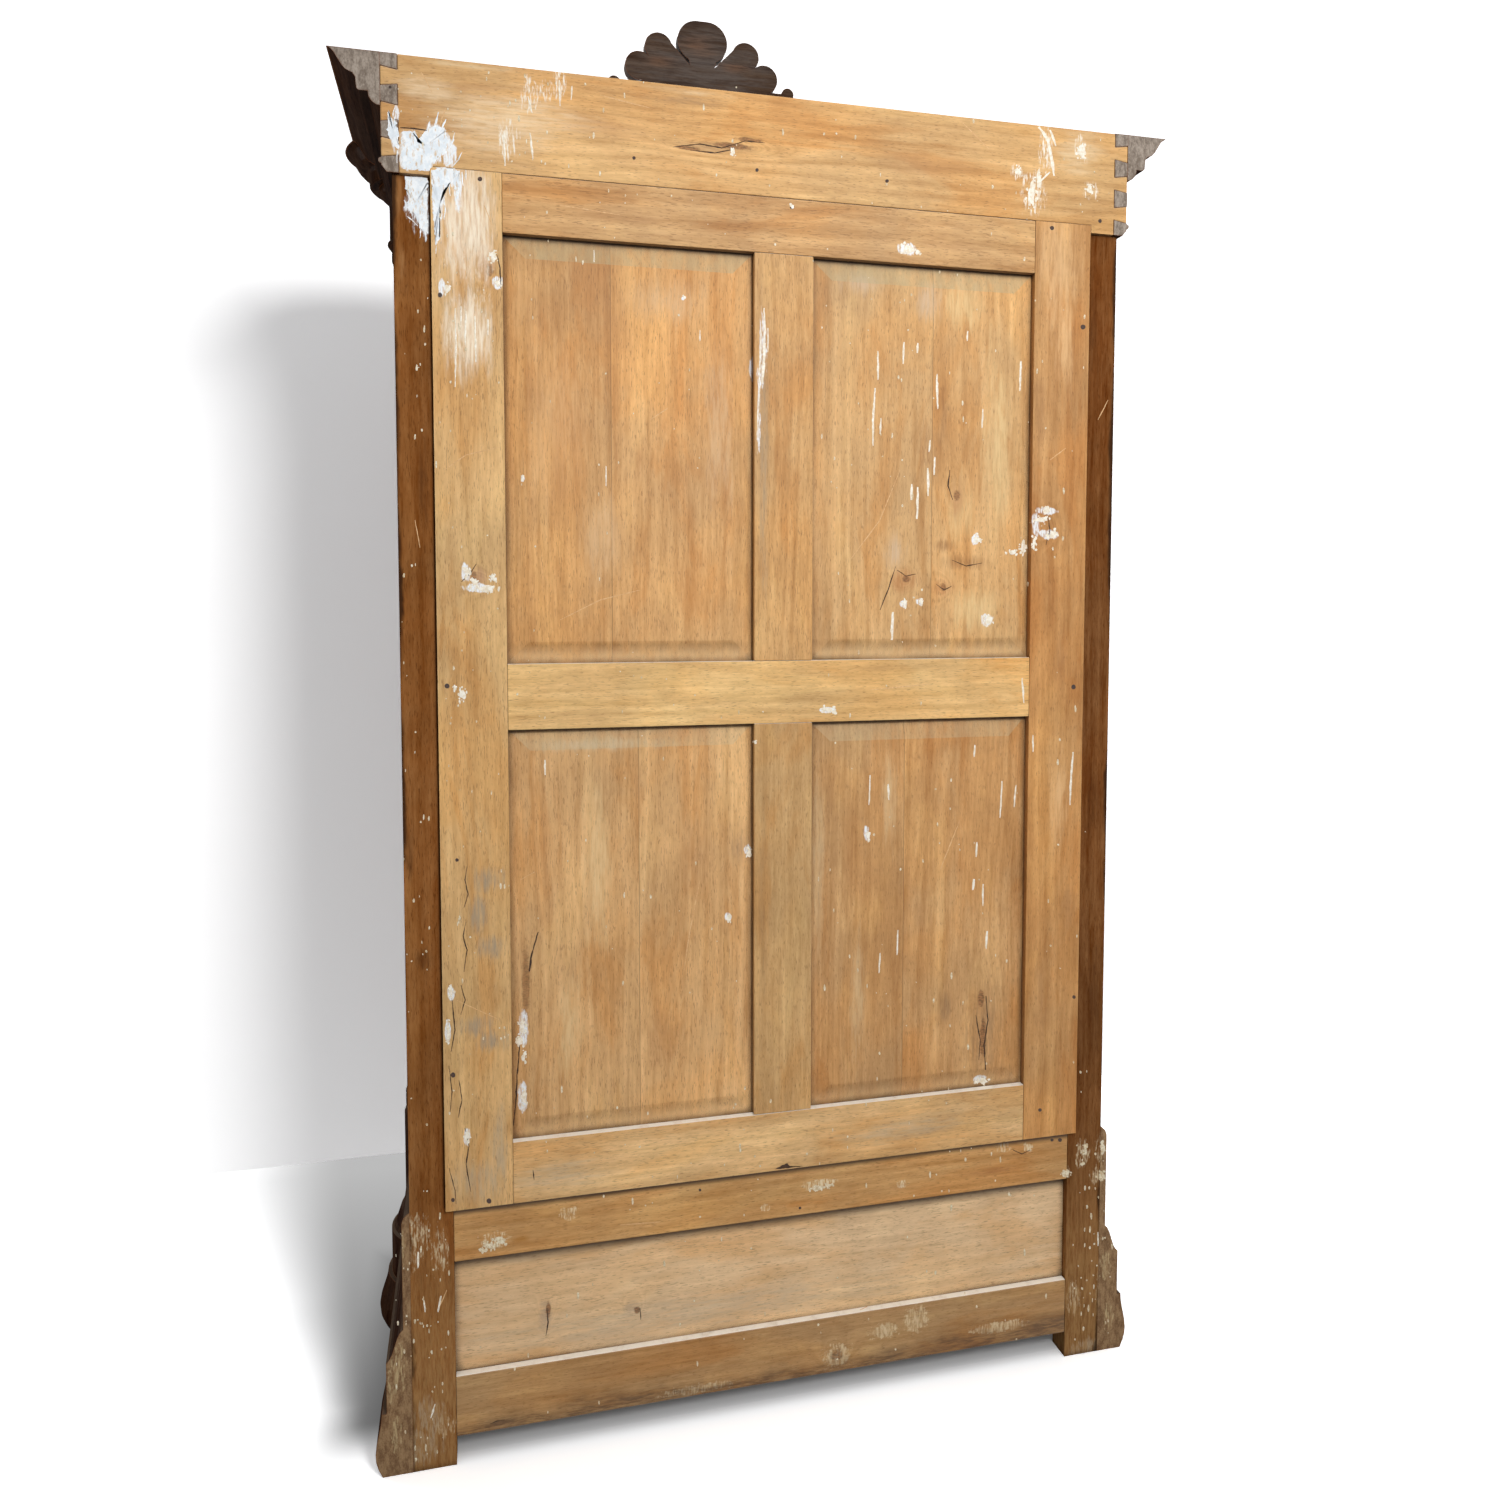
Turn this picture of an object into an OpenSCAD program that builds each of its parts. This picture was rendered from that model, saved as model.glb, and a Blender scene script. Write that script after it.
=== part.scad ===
// Two-door wardrobe of walnut with round corner columns, one long drawer,
// a dovetailed cornice box and a carved shell crest.
// Depths are measured from the back face of the back frame towards the front.

/* [Case] */
// Width over the side frames
case_w = 1270; // [1150:5:1450]
// Height from the floor to the underside of the cornice
case_h = 2119; // [2000:1:2250]
// Depth from the back face to the front face of the corner posts
case_d = 460; // [430:1:560]
// Thickness of the framed joinery
frame_t = 28; // [26:0.5:32]
// Gap left at every fixed wood joint
fit = 0.3; // [0.2:0.05:0.4]

/* [Back frame] */
// Height of the lower edge of the back frame above the floor
back_z0 = 443.5; // [430:0.5:470]
// How far the top of the back frame stands up into the cornice
back_rise = 13.5; // [8:0.5:20]
// Width of the back stiles
back_stile_w = 110; // [80:1:130]
// Height of the top rail
back_top_h = 93; // [70:1:120]
// Height of the middle rail
back_mid_h = 108; // [80:1:130]
// Height of the lower edge of the middle rail above the floor
back_mid_z = 1240.5; // [1150:0.5:1330]
// Height of the bottom rail
back_bottom_h = 105; // [80:1:130]
// Width of the muntins
muntin_w = 104; // [70:1:130]
// How far the posts and the base stand back from the frame
back_proud = 8; // [4:0.5:9]

/* [Panels] */
// Distance from the face of a frame to the groove for its panels
groove_set = 14; // [12:0.5:15]
// Width of the groove
groove_w = 8; // [6:0.5:9]
// Depth of the groove
groove_depth = 12; // [9:0.5:14]
// Width of the bevel round a fielded panel
bevel_w = 36; // [18:1:40]
// How far the field of a panel stands above its bevelled edge
field_rise = 6; // [3:0.5:8]
// Length of the tenons
tenon_l = 34; // [24:1:40]
// Height of the shoulder beside a tenon
tenon_shoulder = 14; // [12:1:18]

/* [Posts] */
// Width of the back posts, seen from the back
post_w = 70; // [62:1:80]
// Depth of the back posts
back_post_d = 45; // [40:1:60]
// Rebate of the back posts that holds the back frame
post_rebate = 12.5; // [10:0.5:16]
// Width of the front corner posts
front_post_w = 105; // [95:1:130]
// Depth of the front corner posts
front_post_d = 110; // [100:1:125]

/* [Corner columns] */
// How far the column centre lies inside the side and the front
column_in = 30; // [26:1:34]
// Radius of the column shaft at its foot
shaft_r = 50; // [44:0.5:54]
// Radius of the column shaft under the capital
shaft_top_r = 45; // [40:0.5:50]
// Radius of the column base and of the capital
column_end_r = 62; // [56:0.5:63]
// Height of the turned base of the column
column_base_h = 78; // [60:1:100]
// Height of the turned capital
capital_h = 84; // [70:1:110]

/* [Base] */
// Height of the base moulding above the floor
base_h = 445; // [420:1:470]
// How far the upper tier of the base stands out
base_tier_out = 13; // [8:0.5:16]
// How far the plinth stands out
plinth_out = 41; // [34:0.5:46]
// Height of the top of the plinth face
plinth_top = 195; // [170:1:215]
// Height of the ogee above the plinth
plinth_ogee_h = 53; // [40:1:60]
// How far the foot stands out at the floor
foot_out = 49; // [46:0.5:54]
// How far the foot swells beyond that
foot_swell = 11; // [6:0.5:14]
// Height of the foot moulding
foot_h = 108; // [90:1:120]
// Length of the back foot along the side
foot_l = 120; // [90:1:140]
// Clear height under the base between the feet
foot_gap = 48.5; // [35:0.5:60]
// How far the round pedestals stand beyond the straight base
pedestal_out = 22; // [16:0.5:26]
// How much further the feet of the round pedestals swell
pedestal_swell = 6; // [0:0.5:8]
// Height of the lower rail of the base back
base_rail_low_h = 105; // [80:1:120]
// Height of the upper rail of the base back
base_rail_up_h = 92; // [80:1:110]
// Thickness of the rail that carries the back frame
base_rail_t = 34; // [33:0.5:42]

/* [Cornice] */
// Height of the cornice box
cornice_h = 181; // [170:1:200]
// How far the cornice box stands beyond the case
cornice_out = 15; // [13:0.5:18]
// Thickness of the cornice boards
cornice_t = 26; // [22:0.5:27]
// Height of the crown moulding
crown_h = 81; // [78:1:90]
// Projection of the crown moulding
crown_out = 78; // [76:1:86]
// Radius of the ovolo at the foot of the crown moulding
ovolo_r = 18; // [14:0.5:20]
// How far the round corners stand beyond the straight cornice
corner_out = 20; // [15:0.5:24]
// Number of dovetails at each back corner
tails = 3; // [2:1:4]
// Height of a dovetail at its root
tail_h = 22; // [16:1:24]
// Distance between dovetails
tail_pitch = 54; // [40:1:56]
// How much a dovetail widens on each side
tail_flare = 4; // [2:0.5:5]
// Thickness of the boards that close the case on top
ceiling_t = 12; // [9:0.5:13]

/* [Crest] */
// Height of the crest above the cornice
crest_h = 366; // [340:1:400]
// Thickness of the crest board
crest_t = 22; // [18:0.5:28]
// Depth of the back face of the crest
crest_set = 497; // [492:1:500]
// How far the crest stands to the right of the middle
crest_off = 41; // [0:1:50]
// Half the width of the middle lobe of the shell
lobe_r = 53; // [46:1:56]
// Half the flat length on top of the middle lobe
lobe_flat = 11; // [0:1:20]
// How much lower one of the two worn scrolls stands than the other
scroll_drop = 13; // [0:1:20]
// Half the length of the foot of the crest
crest_half = 352; // [330:1:400]

/* [Doors] */
// Height of the opening's sill above the floor
sill_z = 475; // [470:1:480]
// Height of the rail over the doors
front_top_h = 40; // [34:1:60]
// Gap round the doors
door_gap = 1.2; // [1:0.1:2]
// Width of the door stiles
door_stile_w = 95; // [80:1:110]
// Height of the top rail of a door
door_top_h = 110; // [90:1:140]
// Height of the bottom rail of a door
door_bottom_h = 135; // [110:1:170]
// Width of the moulding round a door panel
mould_w = 30; // [22:1:36]
// How far that moulding stands out
mould_out = 9; // [6:0.5:12]
// Radius of the hinge pins
pin_r = 3; // [2.5:0.1:3.5]
// Radius of the hinge knuckles
knuckle_r = 6; // [5.5:0.1:7]
// Height of a hinge
hinge_h = 84; // [66:1:100]
// Thickness of the hinge leaves
leaf_t = 1.5; // [1:0.1:2]
// Running gap of the hinge pins
pin_gap = 0.05; // [0.03:0.01:0.08]

/* [Lock] */
// Height of the keyhole above the floor
key_z = 1262; // [1200:1:1320]
// Distance from the meeting edge to the keyhole
key_in = 48; // [42:1:52]
// Width of the lock case
lock_w = 70; // [64:1:76]
// Height of the lock case
lock_h = 92; // [80:1:110]
// Depth of the lock case
lock_d = 15; // [13:0.5:18]
// Height of the lock bolt
bolt_h = 24; // [18:1:30]
// Radius of the key stem
key_r = 3; // [2.5:0.1:3.5]

/* [Drawer] */
// Height of the rail between drawer and doors
cross_rail_h = 35; // [30:1:38]
// Depth of that rail and of the rail over the doors
cross_rail_d = 55; // [45:1:70]
// Width of the drawer runners
runner_w = 42; // [34:1:50]
// Height of the drawer runners and of their guides
runner_h = 22; // [18:1:26]
// Thickness of the drawer front
drawer_front_t = 24; // [20:0.5:28]
// Thickness of the drawer sides and back
drawer_side_t = 13; // [10:0.5:16]
// Thickness of the drawer bottom
drawer_bottom_t = 8; // [6:0.5:9]
// Height of the drawer sides
drawer_side_h = 150; // [120:1:158]
// Depth of the back of the drawer
drawer_back_set = 62; // [56:1:80]
// Radius of the turned drawer knobs
knob_r = 22; // [18:0.5:26]
// Half the distance between the knobs
knob_half = 300; // [220:1:360]

/* [Inside] */
// Distance from the top of the case down to the hat shelf
shelf_down = 329; // [270:1:420]
// Depth of the hat shelf
shelf_d = 300; // [240:1:340]
// Thickness of the hat shelf and the floor boards
board_t = 16; // [14:0.5:20]
// Distance from the hat shelf down to the lower edge of the peg rail
peg_down = 100; // [90:1:160]
// Height of the peg rail
peg_rail_h = 70; // [50:1:85]
// Thickness of the peg rail
peg_rail_t = 20; // [16:1:24]
// Number of pegs
pegs_n = 8; // [4:1:10]
// Length of a peg
peg_l = 95; // [70:1:110]

/* [Hidden] */
$fn = 64;

side_x = case_w / 2;
opening_half = side_x - front_post_w;
plinth_rail_top = plinth_top + plinth_ogee_h;
column_x = side_x - column_in;
column_d = case_d - column_in;
corner_r = column_in + cornice_out + corner_out;
crown_r = corner_r + crown_out;
all_d = column_d + crown_r;
back_y = all_d / 2;

back_half = side_x - post_w + post_rebate;
back_z1 = case_h + back_rise;
cornice_x = side_x + cornice_out;
cornice_d = case_d + cornice_out;
cornice_z1 = case_h + cornice_h;
post_in = side_x - post_w;
post_d1 = back_proud + back_post_d;
front_post_d0 = case_d - front_post_d;
door_z0 = sill_z + door_gap + 1;
door_z1 = case_h - front_top_h - door_gap;
door_d0 = case_d - frame_t;
hinge_d = case_d + knuckle_r + 0.5;
hinge_in = 0.119 * (door_z1 - door_z0);
hinge_zs = [door_z0 + hinge_in, (door_z0 + door_z1) / 2, door_z1 - hinge_in];
leaf_d0 = case_d - 24;
floor_top = sill_z + board_t;
shelf_z = case_h - shelf_down;
peg_z = shelf_z - peg_down;
runner_z = plinth_rail_top + 5;
side_rail_hs = [245, back_mid_h, 109];
side_rail_zs = [base_h * 0.674, back_mid_z, case_h - side_rail_hs[2]];
wood = "peru";
dark = "#3b2418";
red_wood = "#8a4a22";
brass = "#b08d3c";
iron = "#4a4744";

// Moves a piece from depths measured at the back face into the part's frame
module place() {
    translate([0, back_y, 0]) children();
}

// A block between two widths, two depths and two heights
module block(x0, x1, d0, d1, z0, z1) {
    translate([x0, -d1, z0]) cube([x1 - x0, d1 - d0, z1 - z0]);
}

// The same piece on the left (-1) or the right (1)
module on_side(side) {
    mirror([side < 0 ? 1 : 0, 0, 0]) children();
}

// Mouldings

function arc_points(cx, cz, r, a0, a1, n) =
    [for (i = [0:n]) let (a = a0 + (a1 - a0) * i / n) [cx + r * cos(a), cz + r * sin(a)]];

// A soft S from 0 to 1
function ogee(t) = t - 0.7 * sin(360 * t) / (2 * PI);

// The face of the crown: projection and height, from the frieze to the top
function crown_face() = let (z0 = cornice_z1 - crown_h, z_cove = z0 + ovolo_r + 29) concat(
    arc_points(0, z0 + ovolo_r, ovolo_r, -90, 0, 5),
    [[ovolo_r, z0 + ovolo_r + 2], [ovolo_r + 14, z0 + ovolo_r + 2],
     [ovolo_r + 17, z0 + ovolo_r + 5], [ovolo_r + 18, z0 + ovolo_r + 21]],
    [[ovolo_r + 22, z_cove - 2]],
    [for (i = [0:6]) [ovolo_r + 27 + (crown_out - ovolo_r - 27) * i / 6,
                      z_cove + (cornice_z1 - z_cove) * ogee(i / 6)]]);

// The face of the frieze: a small chamfer and a bead above it
bead_r = 4.5;
function frieze_face() = concat(
    [[-8, case_h], [0, case_h + 10]],
    arc_points(0, case_h + 17, bead_r, -90, 90, 6));

// The face of the base: projection and height, from the floor to the top
function foot_face(swell = foot_swell) =
    [for (i = [0:8]) [foot_out + swell * sin(180 * pow(1 - i / 8, 1.6)), foot_h * i / 8]];
function plinth_face(z0) = concat(
    [[plinth_out, z0], [plinth_out, plinth_top]],
    [for (i = [1:6]) [plinth_out + (base_tier_out - plinth_out) * i / 6,
                      plinth_top + plinth_ogee_h * ogee(i / 6)]],
    [[base_tier_out, base_h - 17], [base_tier_out - 3, base_h - 8],
     [base_tier_out - 9, base_h - 2], [0, base_h]]);
function pedestal_face() = concat(foot_face(foot_swell + pedestal_swell), plinth_face(foot_h));

// A straight run of a moulding along the side: x is the projection
module side_run(face, x0, d0, d1) {
    translate([x0, -d0, 0]) rotate([90, 0, 0]) linear_extrude(d1 - d0) polygon(face);
}

// A straight run of a moulding along the front
module front_run(face, half, d0) {
    translate([half, -d0, 0]) rotate([0, 0, -90]) rotate([90, 0, 0])
        linear_extrude(2 * half) polygon(face);
}

// A turned piece about the axis of a corner column
module turned(points) {
    translate([column_x, -column_d, 0]) rotate_extrude() polygon(points);
}

function at_radius(r, face) = [for (p = face) [r + p[0], p[1]]];

// Joinery

// A fielded panel for an opening, with its face towards +Y at y = 0
module fielded_panel(w, h) {
    reach = groove_depth - 1;
    tongue_y = -field_rise;
    back = -field_rise - groove_w + 2 * fit;
    intersection() {
        translate([0, 0, -h / 2 - reach]) linear_extrude(h + 2 * reach)
            polygon([[-w / 2 - reach, back], [w / 2 + reach, back], [w / 2 + reach, tongue_y],
                     [w / 2, tongue_y], [w / 2 - bevel_w, 0], [bevel_w - w / 2, 0],
                     [-w / 2, tongue_y], [-w / 2 - reach, tongue_y]]);
        translate([-w / 2 - reach, 0, 0]) rotate([90, 0, 90]) linear_extrude(w + 2 * reach)
            polygon([[back, -h / 2 - reach], [back, h / 2 + reach], [tongue_y, h / 2 + reach],
                     [tongue_y, h / 2], [0, h / 2 - bevel_w], [0, bevel_w - h / 2],
                     [tongue_y, -h / 2], [tongue_y, -h / 2 - reach]]);
    }
}

panel_set = groove_set - field_rise + fit;

// The groove round an opening, in depths from a frame's face
module groove(x0, x1, d_face, z0, z1, turn = 1) {
    g0 = d_face + turn * groove_set;
    g1 = d_face + turn * (groove_set + groove_w);
    block(x0 - groove_depth, x1 + groove_depth, min(g0, g1), max(g0, g1),
          z0 - groove_depth, z1 + groove_depth);
}

// The two tenons of a rail, or with a gap their mortises
module rail_tenons(x0, x1, d_face, z0, z1, turn = 1, gap = 0) {
    g0 = d_face + turn * (groove_set - gap);
    g1 = d_face + turn * (groove_set + groove_w + gap);
    for (x = [[x0 - tenon_l - gap, x0 + 1], [x1 - 1, x1 + tenon_l + gap]])
        block(x[0], x[1], min(g0, g1), max(g0, g1),
              z0 + tenon_shoulder - gap, z1 - tenon_shoulder + gap);
}

// The two tenons of an upright, or with a gap their mortises
module upright_tenons(x0, x1, d_face, z0, z1, gap = 0) {
    for (z = [[z0 - tenon_l - gap, z0 + 1], [z1 - 1, z1 + tenon_l + gap]])
        block(x0 + tenon_shoulder - gap, x1 - tenon_shoulder + gap,
              d_face + groove_set - gap, d_face + groove_set + groove_w + gap, z[0], z[1]);
}

// Back frame

stile_in = back_half - back_stile_w;
back_rows = [[back_z0 + back_bottom_h, back_mid_z],
             [back_mid_z + back_mid_h, back_z1 - back_top_h]];
back_rails = [[back_z0, back_rows[0][0]], [back_mid_z, back_rows[1][0]],
              [back_rows[1][1], back_z1]];

module back_grooves() {
    for (side = [-1, 1], row = back_rows)
        on_side(side) groove(muntin_w / 2, stile_in, 0, row[0], row[1]);
}

module back_stile(side) {
    color(wood) place() on_side(side) difference() {
        block(stile_in, back_half - fit, 0, frame_t, back_z0, back_z1);
        back_grooves();
        for (r = back_rails) rail_tenons(-stile_in, stile_in, 0, r[0], r[1], 1, fit);
    }
}

module back_rail(i) {
    r = back_rails[i];
    color(wood) place() difference() {
        union() {
            block(-stile_in, stile_in, 0, frame_t, r[0], r[1]);
            rail_tenons(-stile_in, stile_in, 0, r[0], r[1]);
        }
        back_grooves();
        for (row = back_rows)
            upright_tenons(-muntin_w / 2, muntin_w / 2, 0, row[0], row[1], fit);
    }
}

module back_muntin(i) {
    row = back_rows[i];
    color(wood) place() difference() {
        union() {
            block(-muntin_w / 2, muntin_w / 2, 0, frame_t, row[0], row[1]);
            upright_tenons(-muntin_w / 2, muntin_w / 2, 0, row[0], row[1]);
        }
        for (side = [-1, 1])
            on_side(side) groove(muntin_w / 2, stile_in, 0, row[0], row[1]);
    }
}

module back_panel(i, side) {
    row = back_rows[i];
    w = stile_in - muntin_w / 2;
    color(wood) place() on_side(side)
        translate([muntin_w / 2 + w / 2, -panel_set, (row[0] + row[1]) / 2])
            fielded_panel(w, row[1] - row[0]);
}

// Base back

base_open_z0 = foot_gap + base_rail_low_h;
base_open_z1 = back_z0 - base_rail_up_h;

module base_groove() {
    groove(-post_in, post_in, back_proud, base_open_z0, base_open_z1);
}

module base_mortises() {
    rail_tenons(-post_in, post_in, back_proud, foot_gap, base_open_z0, 1, fit);
    rail_tenons(-post_in, post_in, back_proud, base_open_z1, back_z0, 1, fit);
}

module base_back_lower_rail() {
    color(wood) place() difference() {
        union() {
            block(-post_in, post_in, back_proud, back_proud + frame_t, foot_gap, base_open_z0);
            rail_tenons(-post_in, post_in, back_proud, foot_gap, base_open_z0);
        }
        base_groove();
    }
}

module base_back_upper_rail() {
    color(wood) place() difference() {
        union() {
            block(-post_in, post_in, back_proud, back_proud + base_rail_t, base_open_z1, back_z0);
            block(-post_in, post_in, frame_t + fit, back_proud + base_rail_t,
                  back_z0 - 1, sill_z);
            rail_tenons(-post_in, post_in, back_proud, base_open_z1, back_z0);
        }
        base_groove();
    }
}

module base_back_panel() {
    half = post_in + groove_depth - 1;
    color(wood) place() block(-half, half, back_proud + groove_set + fit,
                              back_proud + groove_set + groove_w - fit,
                              base_open_z0 - groove_depth + 1, base_open_z1 + groove_depth - 1);
}

// Posts

// Side frames lie in the same module form as the back frame, turned by 90
// degrees: their face is the outer face of the case.
module turn_to_side(side) {
    on_side(side) translate([side_x, 0, 0]) rotate([0, 0, -90]) children();
}

side_open = [post_d1, front_post_d0];
side_rows = [[side_rail_zs[0] + side_rail_hs[0], side_rail_zs[1]],
             [side_rail_zs[1] + side_rail_hs[1], side_rail_zs[2]]];

module side_grooves(side) {
    for (row = side_rows)
        turn_to_side(side) groove(side_open[0], side_open[1], 0, row[0], row[1]);
}

module side_tenons(side, gap = 0) {
    for (i = [0:2])
        turn_to_side(side) rail_tenons(side_open[0], side_open[1], 0, side_rail_zs[i],
                                       side_rail_zs[i] + side_rail_hs[i], 1, gap);
}

module back_post(side) {
    color(red_wood) place() difference() {
        on_side(side) block(post_in, side_x, back_proud, post_d1, 0, case_h);
        on_side(side) block(0, back_half, -1, frame_t + fit, back_z0, case_h + 1);
        base_groove();
        base_mortises();
        side_grooves(side);
        side_tenons(side, fit);
    }
}

module column_space() {
    translate([column_x, -column_d, base_h - 1]) cylinder(h = case_h - base_h + 2, r = shaft_r + fit);
    translate([column_x, -column_d, base_h])
        cylinder(h = column_base_h + fit, r = column_end_r + fit);
    translate([column_x, -column_d, case_h - capital_h - fit])
        cylinder(h = capital_h + fit + 1, r = column_end_r + fit);
}

module front_post(side) {
    color(dark) place() difference() {
        on_side(side) block(opening_half, side_x, front_post_d0, case_d, 0, case_h);
        on_side(side) column_space();
        on_side(side) hinge_leaves(opening_half, fit);
        side_grooves(side);
        side_tenons(side, fit);
    }
}

// Side frames

module side_rails() {
    for (side = [-1, 1]) color(dark) place() difference() {
        union() {
            for (i = [0:2])
                on_side(side) block(side_x - frame_t, side_x, post_d1, front_post_d0,
                                    side_rail_zs[i], side_rail_zs[i] + side_rail_hs[i]);
            side_tenons(side);
        }
        side_grooves(side);
        on_side(side) column_space();
    }
}

module side_panels() {
    for (side = [-1, 1], row = side_rows)
        color(dark) place() on_side(side)
            translate([side_x - panel_set, -(side_open[0] + side_open[1]) / 2,
                       (row[0] + row[1]) / 2])
                rotate([0, 0, -90])
                    fielded_panel(side_open[1] - side_open[0], row[1] - row[0]);
}

// Columns and pedestals

function swell(t) = shaft_top_r + (shaft_r - shaft_top_r) * cos(90 * t);

function column_points() = let (z0 = base_h, z1 = case_h, r = column_end_r) concat(
    [[0, z0], [r, z0], [r, z0 + 16]],
    arc_points(r - 9, z0 + 25, 9, -80, 80, 6),
    [[r - 11, z0 + 36], [r - 11, z0 + 40]],
    [for (i = [1:5]) [r - 11 - 5 * sin(180 * i / 6), z0 + 40 + 16 * i / 6]],
    [[r - 10, z0 + 56], [r - 10, z0 + 59]],
    arc_points(r - 12, z0 + 65, 6, -80, 80, 5),
    [[shaft_r, z0 + 72], [shaft_r, z0 + column_base_h]],
    [for (i = [1:10]) [swell(i / 10), z0 + column_base_h
        + (z1 - z0 - column_base_h - capital_h) * i / 10]],
    arc_points(shaft_top_r, z1 - capital_h + 8, 5, -90, 90, 6),
    [[shaft_top_r - 1, z1 - capital_h + 14], [shaft_top_r - 1, z1 - 44],
     [shaft_top_r + 2, z1 - 42], [shaft_top_r + 2, z1 - 38]],
    [for (i = [1:6]) [shaft_top_r + 2 + (r - shaft_top_r - 4) * sin(15 * i), z1 - 38 + 20 * i / 6]],
    [[r - 2, z1 - 16], [r, z1 - 14], [r, z1], [0, z1]]);

module column(side) {
    color(dark) place() on_side(side) turned(column_points());
}

pedestal_r = column_in + pedestal_out;

module pedestal_body() {
    turned(concat([[0, 0]], at_radius(pedestal_r, pedestal_face()), [[0, base_h]]));
}

module pedestal(side) {
    color(dark) place() on_side(side) difference() {
        pedestal_body();
        block(0, side_x, 0, case_d, -1, base_h + 1);
    }
}

// Base mouldings

module base_side(side) {
    color(dark) place() on_side(side) difference() {
        union() {
            side_run(concat([[0, foot_gap]], plinth_face(foot_gap)), side_x, back_proud, case_d);
            side_run(concat([[0, 0]], foot_face(), [[0, foot_h]]), side_x, back_proud, foot_l);
        }
        pedestal_body();
    }
}

module front_plinth() {
    face = [for (p = plinth_face(foot_gap)) if (p[1] <= plinth_rail_top) p];
    color(dark) place() difference() {
        front_run(concat([[-frame_t, foot_gap]], face, [[-frame_t, plinth_rail_top]]),
                  opening_half, case_d);
        for (side = [-1, 1]) on_side(side) pedestal_body();
    }
}

// Rails, floor and ceiling

module front_top_rail() {
    color(dark) place()
        block(-opening_half, opening_half, case_d - cross_rail_d, case_d, case_h - front_top_h, case_h);
}

module front_cross_rail() {
    color(dark) place()
        block(-opening_half, opening_half, case_d - cross_rail_d, case_d, sill_z - cross_rail_h, sill_z);
}

module floor_boards() {
    back = frame_t + fit;
    wide = side_x - frame_t - fit;
    color(wood) place() translate([0, 0, sill_z]) linear_extrude(board_t) polygon([
        [-post_in + fit, -back], [post_in - fit, -back], [post_in - fit, -post_d1 - fit],
        [wide, -post_d1 - fit], [wide, -front_post_d0 + fit],
        [opening_half - fit, -front_post_d0 + fit], [opening_half - fit, -door_d0 + 2],
        [-opening_half + fit, -door_d0 + 2], [-opening_half + fit, -front_post_d0 + fit],
        [-wide, -front_post_d0 + fit], [-wide, -post_d1 - fit], [-post_in + fit, -post_d1 - fit]]);
}

module ceiling_boards() {
    half = cornice_x - cornice_t - fit;
    color(wood) place() difference() {
        block(-half, half, frame_t + fit, cornice_d - cornice_t - fit, case_h, case_h + ceiling_t);
        for (side = [-1, 1]) on_side(side)
            block(column_x - board_end - fit, cornice_x, column_d - board_end - fit, cornice_d,
                  case_h - 1, case_h + ceiling_t + 1);
    }
}

module drawer_runners() {
    for (side = [-1, 1]) color(wood) place() on_side(side) {
        block(opening_half - runner_w, opening_half - fit, base_rail_t + back_proud + fit,
              door_d0 - fit, runner_z - runner_h, runner_z);
        block(opening_half - fit - 1, side_x, post_d1 + fit, front_post_d0 - fit,
              runner_z - runner_h, runner_z);
        block(opening_half - 3, opening_half + runner_h, post_d1 + fit, front_post_d0 - fit,
              runner_z - 1, runner_z + runner_h);
    }
}

// Cornice

function tail_z(i) = case_h + 27 + i * tail_pitch;

// The dovetails of the back board, in width and height; a gap widens them
module tail_shapes(gap = 0) {
    for (i = [0:tails - 1])
        polygon([[cornice_x - cornice_t - 1, tail_z(i) - gap],
                 [cornice_x - cornice_t, tail_z(i) - gap],
                 [cornice_x, tail_z(i) - tail_flare - gap],
                 [cornice_x, tail_z(i) + tail_h + tail_flare + gap],
                 [cornice_x - cornice_t, tail_z(i) + tail_h + gap],
                 [cornice_x - cornice_t - 1, tail_z(i) + tail_h + gap]]);
}

module cornice_back() {
    inner = cornice_x - cornice_t;
    color(wood) place() rotate([90, 0, 0]) linear_extrude(cornice_t) difference() {
        union() {
            translate([-inner, case_h]) square([2 * inner, cornice_h]);
            tail_shapes();
            mirror([1, 0]) tail_shapes();
        }
        translate([-back_half, case_h - 1]) square([2 * back_half, back_rise + 1 + fit]);
    }
}

// The straight end of a cornice board inside a corner block
board_end = corner_r - corner_out;

module cornice_sides() {
    for (side = [-1, 1]) color(dark) place() on_side(side) difference() {
        side_run(concat([[-cornice_t, case_h]], frieze_face(),
                        [[0, cornice_z1], [-cornice_t, cornice_z1]]),
                 cornice_x, 0, column_d - board_end);
        translate([0, 1, 0]) rotate([90, 0, 0]) linear_extrude(cornice_t + fit + 1)
            tail_shapes(0.05);
        corner_cut();
    }
}

module corner_cut() {
    turned([[corner_r - 8, case_h - 1], [corner_r + 12, case_h - 1], [corner_r + 12, case_h + 24],
            [corner_r - 8, case_h + 24]]);
}

module cornice_front() {
    color(dark) place() difference() {
        front_run(concat([[-cornice_t, case_h]], frieze_face(),
                         [[0, cornice_z1], [-cornice_t, cornice_z1]]),
                  column_x - board_end, cornice_d);
        for (side = [-1, 1]) on_side(side) corner_cut();
    }
}

module corner_body() {
    turned(concat([[0, case_h]], at_radius(corner_r, frieze_face()),
                  at_radius(corner_r, crown_face()), [[0, cornice_z1]]));
}

module cornice_corners() {
    for (side = [-1, 1]) color(dark) place() on_side(side) difference() {
        corner_body();
        block(0, cornice_x + fit, 0, column_d - board_end, case_h - 1, cornice_z1 + 1);
        block(0, column_x - board_end, 0, cornice_d + fit, case_h - 1, cornice_z1 + 1);
    }
}

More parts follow.
